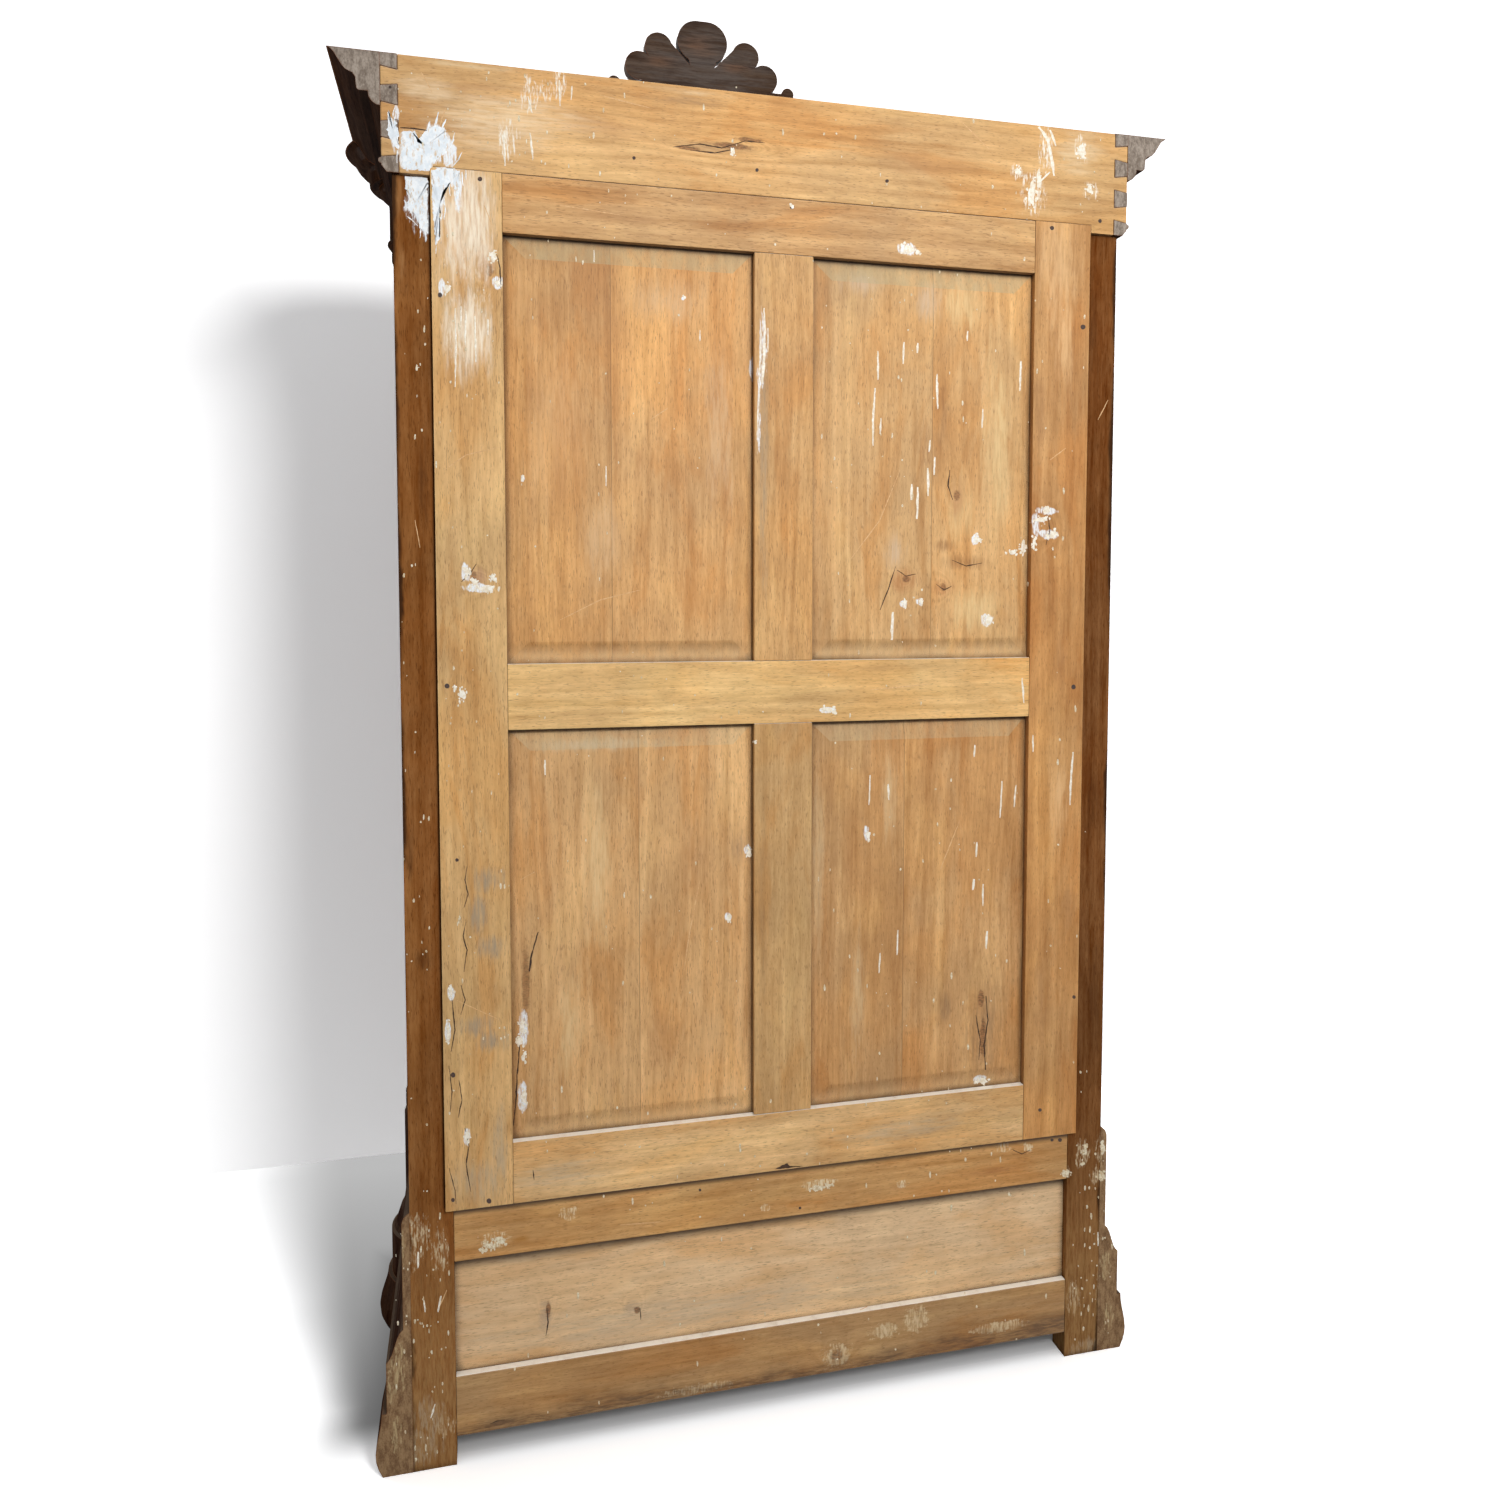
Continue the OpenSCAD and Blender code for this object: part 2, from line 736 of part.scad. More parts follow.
module crown_moulding() {
    color(dark) place() {
        for (side = [-1, 1]) on_side(side) difference() {
            side_run(concat(crown_face(), [[0, cornice_z1]]), cornice_x, 0, column_d);
            corner_body();
        }
        difference() {
            front_run(concat(crown_face(), [[0, cornice_z1]]), column_x, cornice_d);
            for (side = [-1, 1]) on_side(side) corner_body();
        }
    }
}

// Crest: a shell of five lobes over two falling scrolls

shell_z = crest_h - 180;
top_r = lobe_r - lobe_flat;
lobe_tips = [[0, crest_h - top_r, top_r], [93, crest_h - 62, 29], [134, crest_h - 104, 29]];

// The tip of the scroll on one side: how far out, how high, and its radius
function scroll_tip(side) = [186, crest_h - 130 - (side > 0 ? scroll_drop : 0), 13];

// The eye at the foot of each scroll: how far from the end, how high, and its
// radius
scroll_eye = [26, 34, 30];
scroll_foot = [22, 30];
scroll_steps = 12;

function scroll_edge(i, side) =
    let (end = [crest_half - scroll_foot[0], scroll_foot[1]])
    let (tip = scroll_tip(side))
    [end[0] + (tip[0] - end[0]) * i / scroll_steps,
     end[1] + (tip[1] - end[1]) * ogee(i / scroll_steps)];

module crest_shape() {
    for (s = [-1, 1]) scale([s, 1]) {
        tip = scroll_tip(s);
        polygon(concat([[-1, 0], [crest_half, 0], [crest_half, scroll_eye[0]]],
            [for (i = [0:scroll_steps]) scroll_edge(i, s)],
            [[lobe_tips[2][0], tip[1]], [-1, tip[1] + 20]]));
        translate([crest_half - scroll_eye[0], scroll_eye[1]]) circle(r = scroll_eye[2]);
        translate([tip[0], tip[1]]) circle(r = tip[2]);
        for (l = lobe_tips) {
            translate([l[0], l[1]]) circle(r = l[2]);
            polygon([[-1, shell_z - 20], [l[0] + l[2] * 0.8, l[1] - l[2] * 0.5],
                     [l[0] - l[2] * 0.5, l[1] + l[2] * 0.8], [-1, shell_z + 60]]);
        }
        translate([lobe_flat, lobe_tips[0][1]]) circle(r = top_r);
        translate([-1, lobe_tips[0][1]]) square([lobe_flat + 1, top_r]);
    }
}

// The carving on the front of the crest. Each rib of the shell is a cone that
// runs out to a rounded tip; both lie sunk in the board by this share of their
// radius.
crest_sink = 0.6;
rib_root_r = 6;
boss_r = 24;

module crest_boss(x, z, r) {
    translate([x, crest_sink * r - crest_t, z]) sphere(r = r);
}

module crest_rib(tip) {
    run = [tip[0], crest_sink * (tip[2] - rib_root_r), tip[1] - shell_z];
    translate([0, crest_sink * rib_root_r - crest_t, shell_z])
        rotate([0, acos(run[2] / norm(run)), atan2(run[1], run[0])])
            cylinder(h = norm(run), r1 = rib_root_r, r2 = tip[2] * 0.82);
    crest_boss(tip[0], tip[1], tip[2]);
}

// The raised stem of a scroll: it follows the upper edge of the crest
stem_rise = 5;
stem_inset = [6, 6];
stem_outset = [14, 22];

module scroll_stem(side) {
    rotate([90, 0, 0]) linear_extrude(crest_t + stem_rise) polygon(concat(
        [for (i = [0:scroll_steps]) scroll_edge(i, side) - stem_inset],
        [for (i = [scroll_steps:-1:0]) scroll_edge(i, side) - stem_outset]));
}

module crest_carving() {
    for (s = [-1, 1]) {
        for (i = [1:2]) scale([s, 1, 1]) crest_rib(lobe_tips[i]);
        scale([s, 1, 1]) scroll_stem(s);
        crest_boss(s * (crest_half - scroll_eye[0]), scroll_eye[1], boss_r);
    }
    crest_rib(lobe_tips[0]);
    crest_boss(0, shell_z - 8, boss_r * 1.4);
}

module crest() {
    color(dark) place() translate([crest_off, -crest_set, cornice_z1]) {
        rotate([90, 0, 0]) linear_extrude(crest_t) crest_shape();
        intersection() {
            crest_carving();
            translate([-crest_half, -3 * crest_t, 0])
                cube([2 * crest_half, 3 * crest_t - 2, crest_h]);
        }
    }
}

// Doors

door_open = [door_gap + door_stile_w, opening_half - door_gap - door_stile_w];
door_row = [door_z0 + door_bottom_h, door_z1 - door_top_h];

module door_frame(side) {
    x0 = door_gap;
    x1 = opening_half - door_gap;
    color(dark) place() on_side(side) difference() {
        union() {
            block(x0, door_open[0] - fit / 2, door_d0, case_d, door_z0, door_z1);
            block(door_open[1] + fit / 2, x1, door_d0, case_d, door_z0, door_z1);
        }
        groove(door_open[0], door_open[1], case_d, door_row[0], door_row[1], -1);
        door_tenons(fit);
        hinge_leaves(x1 - leaf_t, fit);
        if (side > 0) keyhole();
    }
    color(dark) place() on_side(side) difference() {
        union() {
            block(door_open[0], door_open[1], door_d0, case_d, door_z0, door_row[0]);
            block(door_open[0], door_open[1], door_d0, case_d, door_row[1], door_z1);
            door_tenons();
        }
        groove(door_open[0], door_open[1], case_d, door_row[0], door_row[1], -1);
    }
}

module door_tenons(gap = 0) {
    rail_tenons(door_open[0], door_open[1], case_d, door_z0, door_row[0], -1, gap);
    rail_tenons(door_open[0], door_open[1], case_d, door_row[1], door_z1, -1, gap);
}

module door_panel(side) {
    w = door_open[1] - door_open[0];
    color(dark) place() on_side(side)
        translate([door_open[0] + w / 2, -case_d + panel_set, (door_row[0] + door_row[1]) / 2])
            rotate([0, 0, 180]) fielded_panel(w, door_row[1] - door_row[0]);
}

// How far the moulding laps onto the frame, and how deep its back lies over
// the bevel of the panel
mould_lap = 6;
function mould_back(b) = groove_set - field_rise * (b - mould_lap) / bevel_w;

// One length of the moulding round a door panel, mitred at both ends, with
// its outer edge on the X axis and its face towards -Y
mitre_gap = 0.1;
module mitred_length(l) {
    intersection() {
        translate([-l / 2, 0, 0]) rotate([90, 0, 90]) linear_extrude(l)
            polygon(concat([[0, 0], [-mould_out * 0.5, 0], [-mould_out * 0.5, 3]],
                [for (i = [0:6]) [-mould_out * (0.55 + 0.45 * sin(30 * i)), 4 + 12 * i / 6]],
                [[-mould_out * 0.3, mould_w - 7], [mould_back(mould_w), mould_w],
                 [mould_back(mould_lap), mould_lap + fit], [0, mould_lap + fit]]));
        rotate([90, 0, 0]) translate([0, 0, -groove_set]) linear_extrude(groove_set + 2 * mould_out)
            polygon([[mitre_gap - l / 2, 0], [l / 2 - mitre_gap, 0],
                     [l / 2 - mitre_gap - mould_w, mould_w],
                     [mould_w + mitre_gap - l / 2, mould_w]]);
    }
}

module door_moulding(side) {
    w = door_open[1] - door_open[0] + 2 * mould_lap;
    h = door_row[1] - door_row[0] + 2 * mould_lap;
    color(dark) place() on_side(side)
        translate([(door_open[0] + door_open[1]) / 2, -case_d, (door_row[0] + door_row[1]) / 2])
            for (turn = [0:3])
                rotate([0, 90 * turn, 0])
                    translate([0, 0, -(turn % 2 == 0 ? h : w) / 2])
                        mitred_length(turn % 2 == 0 ? w : h);
}

module meeting_bead() {
    color(dark) place() difference() {
        translate([door_gap + 8, -case_d, door_z0]) cylinder(h = door_z1 - door_z0, r = 8);
        block(-20, 40, door_d0, case_d, door_z0 - 1, door_z1 + 1);
    }
}

// Hinges

// The pockets of the hinge leaves, or without a gap the leaves themselves
module hinge_leaves(x0, gap = 0) {
    for (z = hinge_zs)
        block(x0 - gap, x0 + leaf_t + gap, leaf_d0 - gap, hinge_d, z - hinge_h / 2 - gap,
              z + hinge_h / 2 + gap);
}

knuckle_h = hinge_h / 3;

module post_hinges() {
    for (side = [-1, 1]) color(brass) place() on_side(side) difference() {
        union() {
            hinge_leaves(opening_half);
            for (z = hinge_zs) translate([opening_half, -hinge_d, z]) {
                for (s = [-1, 1])
                    translate([0, 0, s * knuckle_h - knuckle_h / 2]) cylinder(h = knuckle_h, r = knuckle_r);
            }
        }
        for (z = hinge_zs) translate([opening_half, -hinge_d, z - knuckle_h / 2 - fit])
            cylinder(h = knuckle_h + 2 * fit, r = knuckle_r + 1);
    }
    for (side = [-1, 1]) color(brass) place() on_side(side)
        for (z = hinge_zs) translate([opening_half, -hinge_d, z - hinge_h / 2 - 7]) {
            cylinder(h = hinge_h + 14, r = pin_r);
        }
}

module door_hinges(side) {
    color(brass) place() on_side(side) for (z = hinge_zs) difference() {
        union() {
            block(opening_half - door_gap - leaf_t, opening_half - door_gap, leaf_d0, hinge_d,
                  z - hinge_h / 2, z + hinge_h / 2);
            translate([opening_half, -hinge_d, z - knuckle_h / 2]) cylinder(h = knuckle_h, r = knuckle_r);
        }
        translate([opening_half, -hinge_d, z - hinge_h / 2 - 1])
            cylinder(h = hinge_h + 2, r = pin_r + pin_gap);
        for (s = [-1, 1])
            translate([opening_half, -hinge_d, z + s * knuckle_h - knuckle_h / 2 - fit])
                cylinder(h = knuckle_h + 2 * fit, r = knuckle_r + fit);
    }
}

// Lock

module keyhole() {
    translate([key_in, -case_d - 3, key_z]) rotate([-90, 0, 0])
        cylinder(h = frame_t + 4, r = key_r + 1);
    block(key_in - 1.6, key_in + 1.6, door_d0 - 1, case_d + 3, key_z - bit_r - 0.5, key_z);
}

lock_d0 = door_d0 - lock_d;
lock_wall = 3;
bolt_t = 8;
bit_r = 11;
bolt_z0 = key_z + bit_r + 1;
bow_r = 13;
bow_out = 42;

module door_lock() {
    color(iron) place() difference() {
        block(door_gap + 3, door_gap + lock_w, lock_d0, door_d0, key_z - lock_h / 2,
              key_z + lock_h / 2);
        block(door_gap, door_gap + lock_w - 12, lock_d0 + lock_wall, lock_d0 + lock_wall + bolt_t,
              bolt_z0 - fit / 2, bolt_z0 + bolt_h + fit / 2);
        translate([key_in, -lock_d0 - lock_wall, key_z]) rotate([90, 0, 0])
            cylinder(h = bolt_t, r = bit_r + 0.5);
        translate([key_in, -door_d0 - 1, key_z]) rotate([-90, 0, 0])
            cylinder(h = lock_d + 2, r = key_r + pin_gap);
        block(key_in - 1.6, key_in + 1.6, lock_d0 + lock_wall, door_d0 + 1,
              key_z - bit_r - 0.5, key_z);
    }
}

module lock_bolt() {
    color(iron) place() block(door_gap + 2, door_gap + lock_w - 26, lock_d0 + lock_wall + fit / 2,
                              lock_d0 + lock_wall + bolt_t - fit / 2, bolt_z0, bolt_z0 + bolt_h);
}

module door_key() {
    stem = bow_out + frame_t + lock_d - 1;
    color(brass) place() translate([key_in, -case_d - bow_out, key_z]) {
        translate([0, bow_r - 2, 0]) rotate([-90, 0, 0]) cylinder(h = stem - bow_r + 2, r = key_r);
        translate([0, bow_r + 2, 0]) rotate([-90, 0, 0]) cylinder(h = 5, r = 5);
        difference() {
            rotate([0, 90, 0]) cylinder(h = 4, r = bow_r, center = true);
            rotate([0, 90, 0]) cylinder(h = 6, r = bow_r - 5, center = true);
        }
        translate([-1.2, stem + 2 - lock_wall - bolt_t, -bit_r]) cube([2.4, bolt_t - 2, bit_r]);
    }
}

module key_escutcheon() {
    color(brass) place() difference() {
        translate([key_in, -case_d, key_z - 4]) rotate([90, 0, 0]) linear_extrude(2) union() {
            translate([0, 14]) circle(r = 13);
            translate([0, -14]) circle(r = 13);
            square([18, 40], center = true);
        }
        keyhole();
    }
}

// Drawer

drawer_half = opening_half - door_gap;
drawer_z0 = plinth_rail_top + door_gap;
drawer_z1 = sill_z - cross_rail_h - door_gap;
drawer_d1 = case_d - drawer_front_t;
box_half = opening_half - 4;
box_z0 = runner_z + fit;
bottom_z = box_z0 + 10;

module drawer_grooves() {
    block(-box_half + drawer_side_t - 6, box_half - drawer_side_t + 6, drawer_back_set + 4,
          drawer_d1 + 6, bottom_z, bottom_z + drawer_bottom_t);
}

module drawer_front() {
    color(dark) place() difference() {
        block(-drawer_half, drawer_half, drawer_d1, case_d, drawer_z0, drawer_z1);
        drawer_grooves();
        for (side = [-1, 1]) on_side(side) translate([knob_half, -case_d - 1, (drawer_z0 + drawer_z1) / 2])
            rotate([-90, 0, 0]) cylinder(h = drawer_front_t + 2, r = 8 + fit);
    }
}

module drawer_box() {
    z1 = box_z0 + drawer_side_h;
    for (side = [-1, 1]) color(wood) place() on_side(side) difference() {
        block(box_half - drawer_side_t, box_half, drawer_back_set, drawer_d1, box_z0, z1);
        drawer_grooves();
    }
    color(wood) place() difference() {
        block(-box_half + drawer_side_t, box_half - drawer_side_t, drawer_back_set,
              drawer_back_set + drawer_side_t, box_z0, z1);
        drawer_grooves();
    }
}

module drawer_bottom() {
    color(wood) place()
        block(-box_half + drawer_side_t - 6 + fit, box_half - drawer_side_t + 6 - fit,
              drawer_back_set + 4 + fit, drawer_d1 + 6 - fit, bottom_z + fit / 2,
              bottom_z + drawer_bottom_t - fit / 2);
}

module drawer_knobs() {
    zk = (drawer_z0 + drawer_z1) / 2;
    for (side = [-1, 1]) color(dark) place() on_side(side)
        translate([knob_half, -drawer_d1, zk]) rotate([90, 0, 0]) rotate_extrude()
            polygon(concat([[0, 0], [8, 0], [8, drawer_front_t], [14, drawer_front_t],
                            [14, drawer_front_t + 4], [9, drawer_front_t + 8]],
                           [[9, drawer_front_t + 12]],
                           arc_points(knob_r - 9, drawer_front_t + 22, 9, -70, 80, 8),
                           [[0, drawer_front_t + 34]]));
}

// Inside

shelf_back = frame_t + fit;

module hat_shelf() {
    wide = side_x - frame_t - fit;
    color(wood) place() translate([0, 0, shelf_z]) linear_extrude(board_t) polygon([
        [-post_in + fit, -shelf_back], [post_in - fit, -shelf_back], [post_in - fit, -post_d1 - fit],
        [wide, -post_d1 - fit], [wide, -shelf_d], [-wide, -shelf_d], [-wide, -post_d1 - fit],
        [-post_in + fit, -post_d1 - fit]]);
}

module shelf_battens() {
    for (side = [-1, 1]) color(wood) place() on_side(side)
        block(side_x - frame_t - 22, side_x - frame_t, post_d1 + fit, shelf_d - 20, shelf_z - 30, shelf_z);
}

peg_rail_half = post_in - 6;
peg_tilt = 12;

module peg_places() {
    for (i = [0:pegs_n - 1])
        translate([-peg_rail_half + (i + 0.5) * 2 * peg_rail_half / pegs_n,
                   -frame_t - peg_rail_t, peg_z + peg_rail_h * 0.43])
            rotate([90 - peg_tilt, 0, 0]) children();
}

module peg_rail() {
    color(wood) place() difference() {
        block(-peg_rail_half, peg_rail_half, frame_t, frame_t + peg_rail_t, peg_z,
              peg_z + peg_rail_h);
        peg_places() translate([0, 0, -14]) cylinder(h = 40, r = 6 + fit);
    }
}

module pegs() {
    color(wood) place() peg_places() rotate_extrude()
        polygon([[0, -12], [6, -12], [6, 3], [10, 5], [10, 9], [7, 14], [8, peg_l * 0.6],
                 [11, peg_l - 16], [12, peg_l - 7], [8, peg_l], [0, peg_l]]);
}

back_stile(-1);  // back_stile_left
back_stile(1);  // back_stile_right
back_rail(2);  // back_top_rail
back_rail(1);  // back_middle_rail
back_rail(0);  // back_bottom_rail
back_muntin(1);  // back_muntin_upper
back_muntin(0);  // back_muntin_lower
back_panel(1, -1);  // back_panel_upper_left
back_panel(1, 1);  // back_panel_upper_right
back_panel(0, -1);  // back_panel_lower_left
back_panel(0, 1);  // back_panel_lower_right
base_back_upper_rail();
base_back_lower_rail();
base_back_panel();
back_post(-1);  // back_post_left
back_post(1);  // back_post_right
front_post(-1);  // front_post_left
front_post(1);  // front_post_right
column(-1);  // column_left
column(1);  // column_right
pedestal(-1);  // pedestal_left
pedestal(1);  // pedestal_right
side_rails();
side_panels();
base_side(-1);  // base_side_left
base_side(1);  // base_side_right
front_top_rail();
front_cross_rail();
front_plinth();
floor_boards();
ceiling_boards();
hat_shelf();
shelf_battens();
peg_rail();
pegs();
cornice_back();
cornice_sides();
cornice_front();
cornice_corners();
crown_moulding();
crest();
door_frame(-1);  // left_door_frame
door_panel(-1);  // left_door_panel
door_moulding(-1);  // left_door_moulding
door_frame(1);  // right_door_frame
door_panel(1);  // right_door_panel
door_moulding(1);  // right_door_moulding
meeting_bead();
post_hinges();
door_hinges(-1);  // left_door_hinges
door_hinges(1);  // right_door_hinges
door_lock();
lock_bolt();
door_key();
key_escutcheon();
drawer_front();
drawer_box();
drawer_bottom();
drawer_knobs();
drawer_runners();
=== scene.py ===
"""Looks of an old two-door wardrobe, photographed from behind.

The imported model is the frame. This script gives every node its wood or metal,
eases the edges, adds the marks of age that the photograph shows, and sets up the
camera, the lamps, the floor and the backdrop. Lengths are in metres. Places on the
back are given in pixels of the photograph, as x, y.
"""

import itertools
import math
import random
from functools import partialmethod

import bpy
from mathutils import Matrix, Vector
from mathutils.bvhtree import BVHTree


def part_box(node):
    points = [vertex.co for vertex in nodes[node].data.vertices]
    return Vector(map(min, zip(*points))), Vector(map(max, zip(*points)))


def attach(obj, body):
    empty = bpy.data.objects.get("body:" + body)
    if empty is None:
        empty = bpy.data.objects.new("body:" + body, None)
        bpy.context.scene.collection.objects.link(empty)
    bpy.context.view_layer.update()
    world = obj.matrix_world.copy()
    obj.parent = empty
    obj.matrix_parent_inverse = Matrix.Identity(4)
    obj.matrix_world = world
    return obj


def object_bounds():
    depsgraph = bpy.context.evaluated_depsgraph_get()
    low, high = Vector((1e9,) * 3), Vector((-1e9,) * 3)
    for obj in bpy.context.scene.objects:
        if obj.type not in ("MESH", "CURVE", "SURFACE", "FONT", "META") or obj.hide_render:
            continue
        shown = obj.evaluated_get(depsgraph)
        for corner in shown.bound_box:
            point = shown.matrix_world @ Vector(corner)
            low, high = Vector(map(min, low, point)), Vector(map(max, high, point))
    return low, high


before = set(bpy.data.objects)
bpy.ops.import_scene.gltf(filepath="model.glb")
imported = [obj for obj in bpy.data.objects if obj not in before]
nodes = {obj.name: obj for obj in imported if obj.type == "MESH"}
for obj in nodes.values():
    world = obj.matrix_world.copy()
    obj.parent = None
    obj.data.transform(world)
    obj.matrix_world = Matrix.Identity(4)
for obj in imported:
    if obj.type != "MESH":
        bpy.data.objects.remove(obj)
CAD_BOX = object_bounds()

BACK_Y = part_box("back_stile_left")[1].y
CASE_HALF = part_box("back_post_right")[1].x

# The camera, as the photograph's perspective gives it

PHOTO_SIZE = 1500
FOCAL_PX = 1094.7
CENTRE_PX = (744.8, 660.2)
EYE = Vector((0.507, BACK_Y + 1.8238, 1.4507))
YAW = math.radians(-13.508)
PITCH = math.radians(-3.065)


def view_axes():
    """The camera's right, up and forward axes."""
    level = math.cos(PITCH)
    forward = Vector((math.sin(YAW) * level, -math.cos(YAW) * level, math.sin(PITCH)))
    right = forward.cross(Vector((0, 0, 1))).normalized()
    return right, right.cross(forward), forward


def photo_ray(px, py):
    """The direction in which the camera sees a point of the photograph."""
    right, up, forward = view_axes()
    across = (px - CENTRE_PX[0]) / FOCAL_PX
    down = (py - CENTRE_PX[1]) / FOCAL_PX
    return (forward + right * across - up * down).normalized()


def photo_point(px, py):
    """The point of the back's plane that is seen at a pixel of the photograph."""
    ray = photo_ray(px, py)
    return EYE + ray * ((BACK_Y - EYE.y) / ray.y)


def make_camera():
    right, up, forward = view_axes()
    data = bpy.data.cameras.new("camera")
    data.sensor_width = 36.0
    data.lens = FOCAL_PX * data.sensor_width / PHOTO_SIZE
    data.shift_x = (PHOTO_SIZE / 2 - CENTRE_PX[0]) / PHOTO_SIZE
    data.shift_y = (CENTRE_PX[1] - PHOTO_SIZE / 2) / PHOTO_SIZE
    camera = bpy.data.objects.new("camera", data)
    turn = Matrix((right, up, -forward)).transposed().to_4x4()
    camera.matrix_world = Matrix.Translation(EYE) @ turn
    bpy.context.scene.collection.objects.link(camera)
    bpy.context.scene.camera = camera


make_camera()

# Node trees


def channel(c):
    """One channel of a colour, from 0 to 255, as the shader wants it."""
    return ((c / 255 + 0.055) / 1.055) ** 2.4 if c > 10 else c / 255 / 12.92


def linear(r, g, b):
    return channel(r), channel(g), channel(b), 1.0


class Tree:
    """The node tree of a material or a world, with a short way to write each kind of node."""

    def __init__(self, owner, output="OutputMaterial"):
        owner.use_nodes = True
        self.owner = owner
        self.nodes = owner.node_tree.nodes
        self.links = owner.node_tree.links
        self.nodes.clear()
        self.output = self.nodes.new("ShaderNode" + output)

    def put(self, socket, value):
        if isinstance(value, bpy.types.NodeSocket):
            self.links.new(value, socket)
        else:
            socket.default_value = value

    def node(self, kind, inputs=(), **settings):
        made = self.nodes.new("ShaderNode" + kind)
        for key, value in settings.items():
            setattr(made, key, value)
        for key, value in dict(inputs).items():
            self.put(made.inputs[key], value)
        return made

    def math(self, operation, a, b=0.0):
        return self.node("Math", {0: a, 1: b}, operation=operation).outputs[0]

    add = partialmethod(math, "ADD")
    minus = partialmethod(math, "SUBTRACT")
    times = partialmethod(math, "MULTIPLY")
    most = partialmethod(math, "MAXIMUM")

    def vector(self, operation, a, b=(0, 0, 0)):
        made = self.node("VectorMath", {0: a, 1: b}, operation=operation)
        return made.outputs["Value" if operation in ("LENGTH", "DOT_PRODUCT") else "Vector"]

    def axes(self, vector):
        return self.node("SeparateXYZ", {0: vector}).outputs

    def span(self, value, low, high, to_low=0.0, to_high=1.0, smooth=True):
        """The value, mapped from low..high to to_low..to_high and held there."""
        made = self.node("MapRange", {0: value, 1: low, 2: high, 3: to_low, 4: to_high})
        made.interpolation_type = "SMOOTHSTEP" if smooth else "LINEAR"
        return made.outputs[0]

    def mix(self, share, a, b, blend="MIX"):
        made = self.node("Mix", data_type="RGBA", blend_type=blend, clamp_factor=True)
        self.put(made.inputs[0], share)
        self.put(made.inputs[6], a)
        self.put(made.inputs[7], b)
        return made.outputs[2]

    def tint(self, colour, tone):
        return self.mix(1.0, colour, tone, "MULTIPLY")

    def grey(self, level):
        return self.node("CombineColor", {0: level, 1: level, 2: level}).outputs[0]

    def noise(self, place, scale, detail, rough, bend=0.0):
        made = self.node("TexNoise", {"Vector": place, "Scale": scale, "Detail": detail,
                                      "Roughness": rough, "Distortion": bend})
        return made.outputs["Fac"]

    def grain(self, place, repeats, detail=4.0, rough=0.6, bend=0.0):
        """Noise with its own number of repeats in a metre along each axis."""
        return self.noise(self.vector("MULTIPLY", place, repeats), 1.0, detail, rough, bend)

    def lines(self, at):
        """Noise along a single number."""
        made = self.node("TexNoise", {"W": at, "Scale": 1.0, "Detail": 4.0, "Roughness": 0.6},
                         noise_dimensions="1D")
        return made.outputs["Fac"]

    def shader(self, colour, rough, height, strength, depth):
        """A principled shader with a relief."""
        made = self.node("BsdfPrincipled", {"Base Color": colour, "Roughness": rough})
        bump = self.node("Bump", {"Height": height, "Strength": strength, "Distance": depth})
        self.put(made.inputs["Normal"], bump.outputs[0])
        return made

    def either(self, share, a, b):
        """The shader a, or b where the share is 1."""
        return self.node("MixShader", {0: share, 1: a, 2: b}).outputs[0]

    def seen(self):
        """1 for rays of the camera and for what gloss and glass show."""
        rays = self.node("LightPath").outputs
        direct = self.most(rays["Is Camera Ray"], rays["Is Glossy Ray"])
        return self.most(direct, rays["Is Transmission Ray"])

    def finish(self, shader):
        self.links.new(shader, self.output.inputs["Surface"])
        return self.owner


# Spots on the back, each as x, y, half width, half height


def ellipse(t, place, spot):
    """1 in the middle of a spot, 0 at its edge and less outside it."""
    px, py, half_w, half_h = spot
    middle = photo_point(px, py)
    reach_x = abs(photo_point(px + half_w, py).x - middle.x)
    reach_z = abs(photo_point(px, py + half_h).z - middle.z)
    away = t.vector("SUBTRACT", place, (middle.x, BACK_Y, middle.z))
    scaled = t.vector("MULTIPLY", away, (1 / reach_x, 0.0, 1 / reach_z))
    return t.minus(1.0, t.vector("LENGTH", scaled))


def patch_mask(t, spots, ragged, edge, streaks):
    """A mask over several spots, with an edge as ragged as dry paint."""
    torn = t.grain(t.here, streaks, 5.0, 0.65)
    level = None
    for spot in spots:
        one = ellipse(t, t.here, spot)
        level = one if level is None else t.most(level, one)
    level = t.add(level, t.times(t.minus(torn, 0.5), ragged * 4))
    return t.span(level, 0.0, edge)


def knot_pull(t, knots):
    """How far the growth rings are pushed aside round the knots."""
    pull = None
    for knot in knots:
        inside = t.most(t.add(ellipse(t, t.here, knot), 0.9), 0.0)
        one = t.math("POWER", inside, 2.0)
        pull = one if pull is None else t.add(pull, one)
    return pull


# Layers on the wood: paint, smudges and the hearts of knots

PAINT = (246, 250, 253)
CREAM = (232, 212, 174)


def paint_layer(t, colour, spots, tone=PAINT, cover=0.95, ragged=0.45, thin=0.2, bite=(0.34, 0.56),
                streaks=(90, 90, 34)):
    """Brushed paint, thin where the brush ran dry."""
    mask = patch_mask(t, spots, ragged, 0.30, streaks)
    bitten = t.grain(t.here, (340, 340, 60), 4.0, 0.65)
    shown = t.times(mask, t.span(bitten, *bite, thin, 1.0))
    return t.mix(t.times(shown, cover), colour, linear(*tone))


def smudge_layer(t, colour, spots, tone, cover, ragged=0.42):
    """A soft stain that runs with the grain and lets it show through."""
    mask = patch_mask(t, spots, ragged, 0.9, t.along)
    fine = t.grain(t.here, tuple(4 * a for a in t.along))
    shown = t.times(mask, t.span(fine, 0.3, 0.65, 0.4, 1.0))
    return t.mix(t.times(shown, cover), colour, linear(*tone))


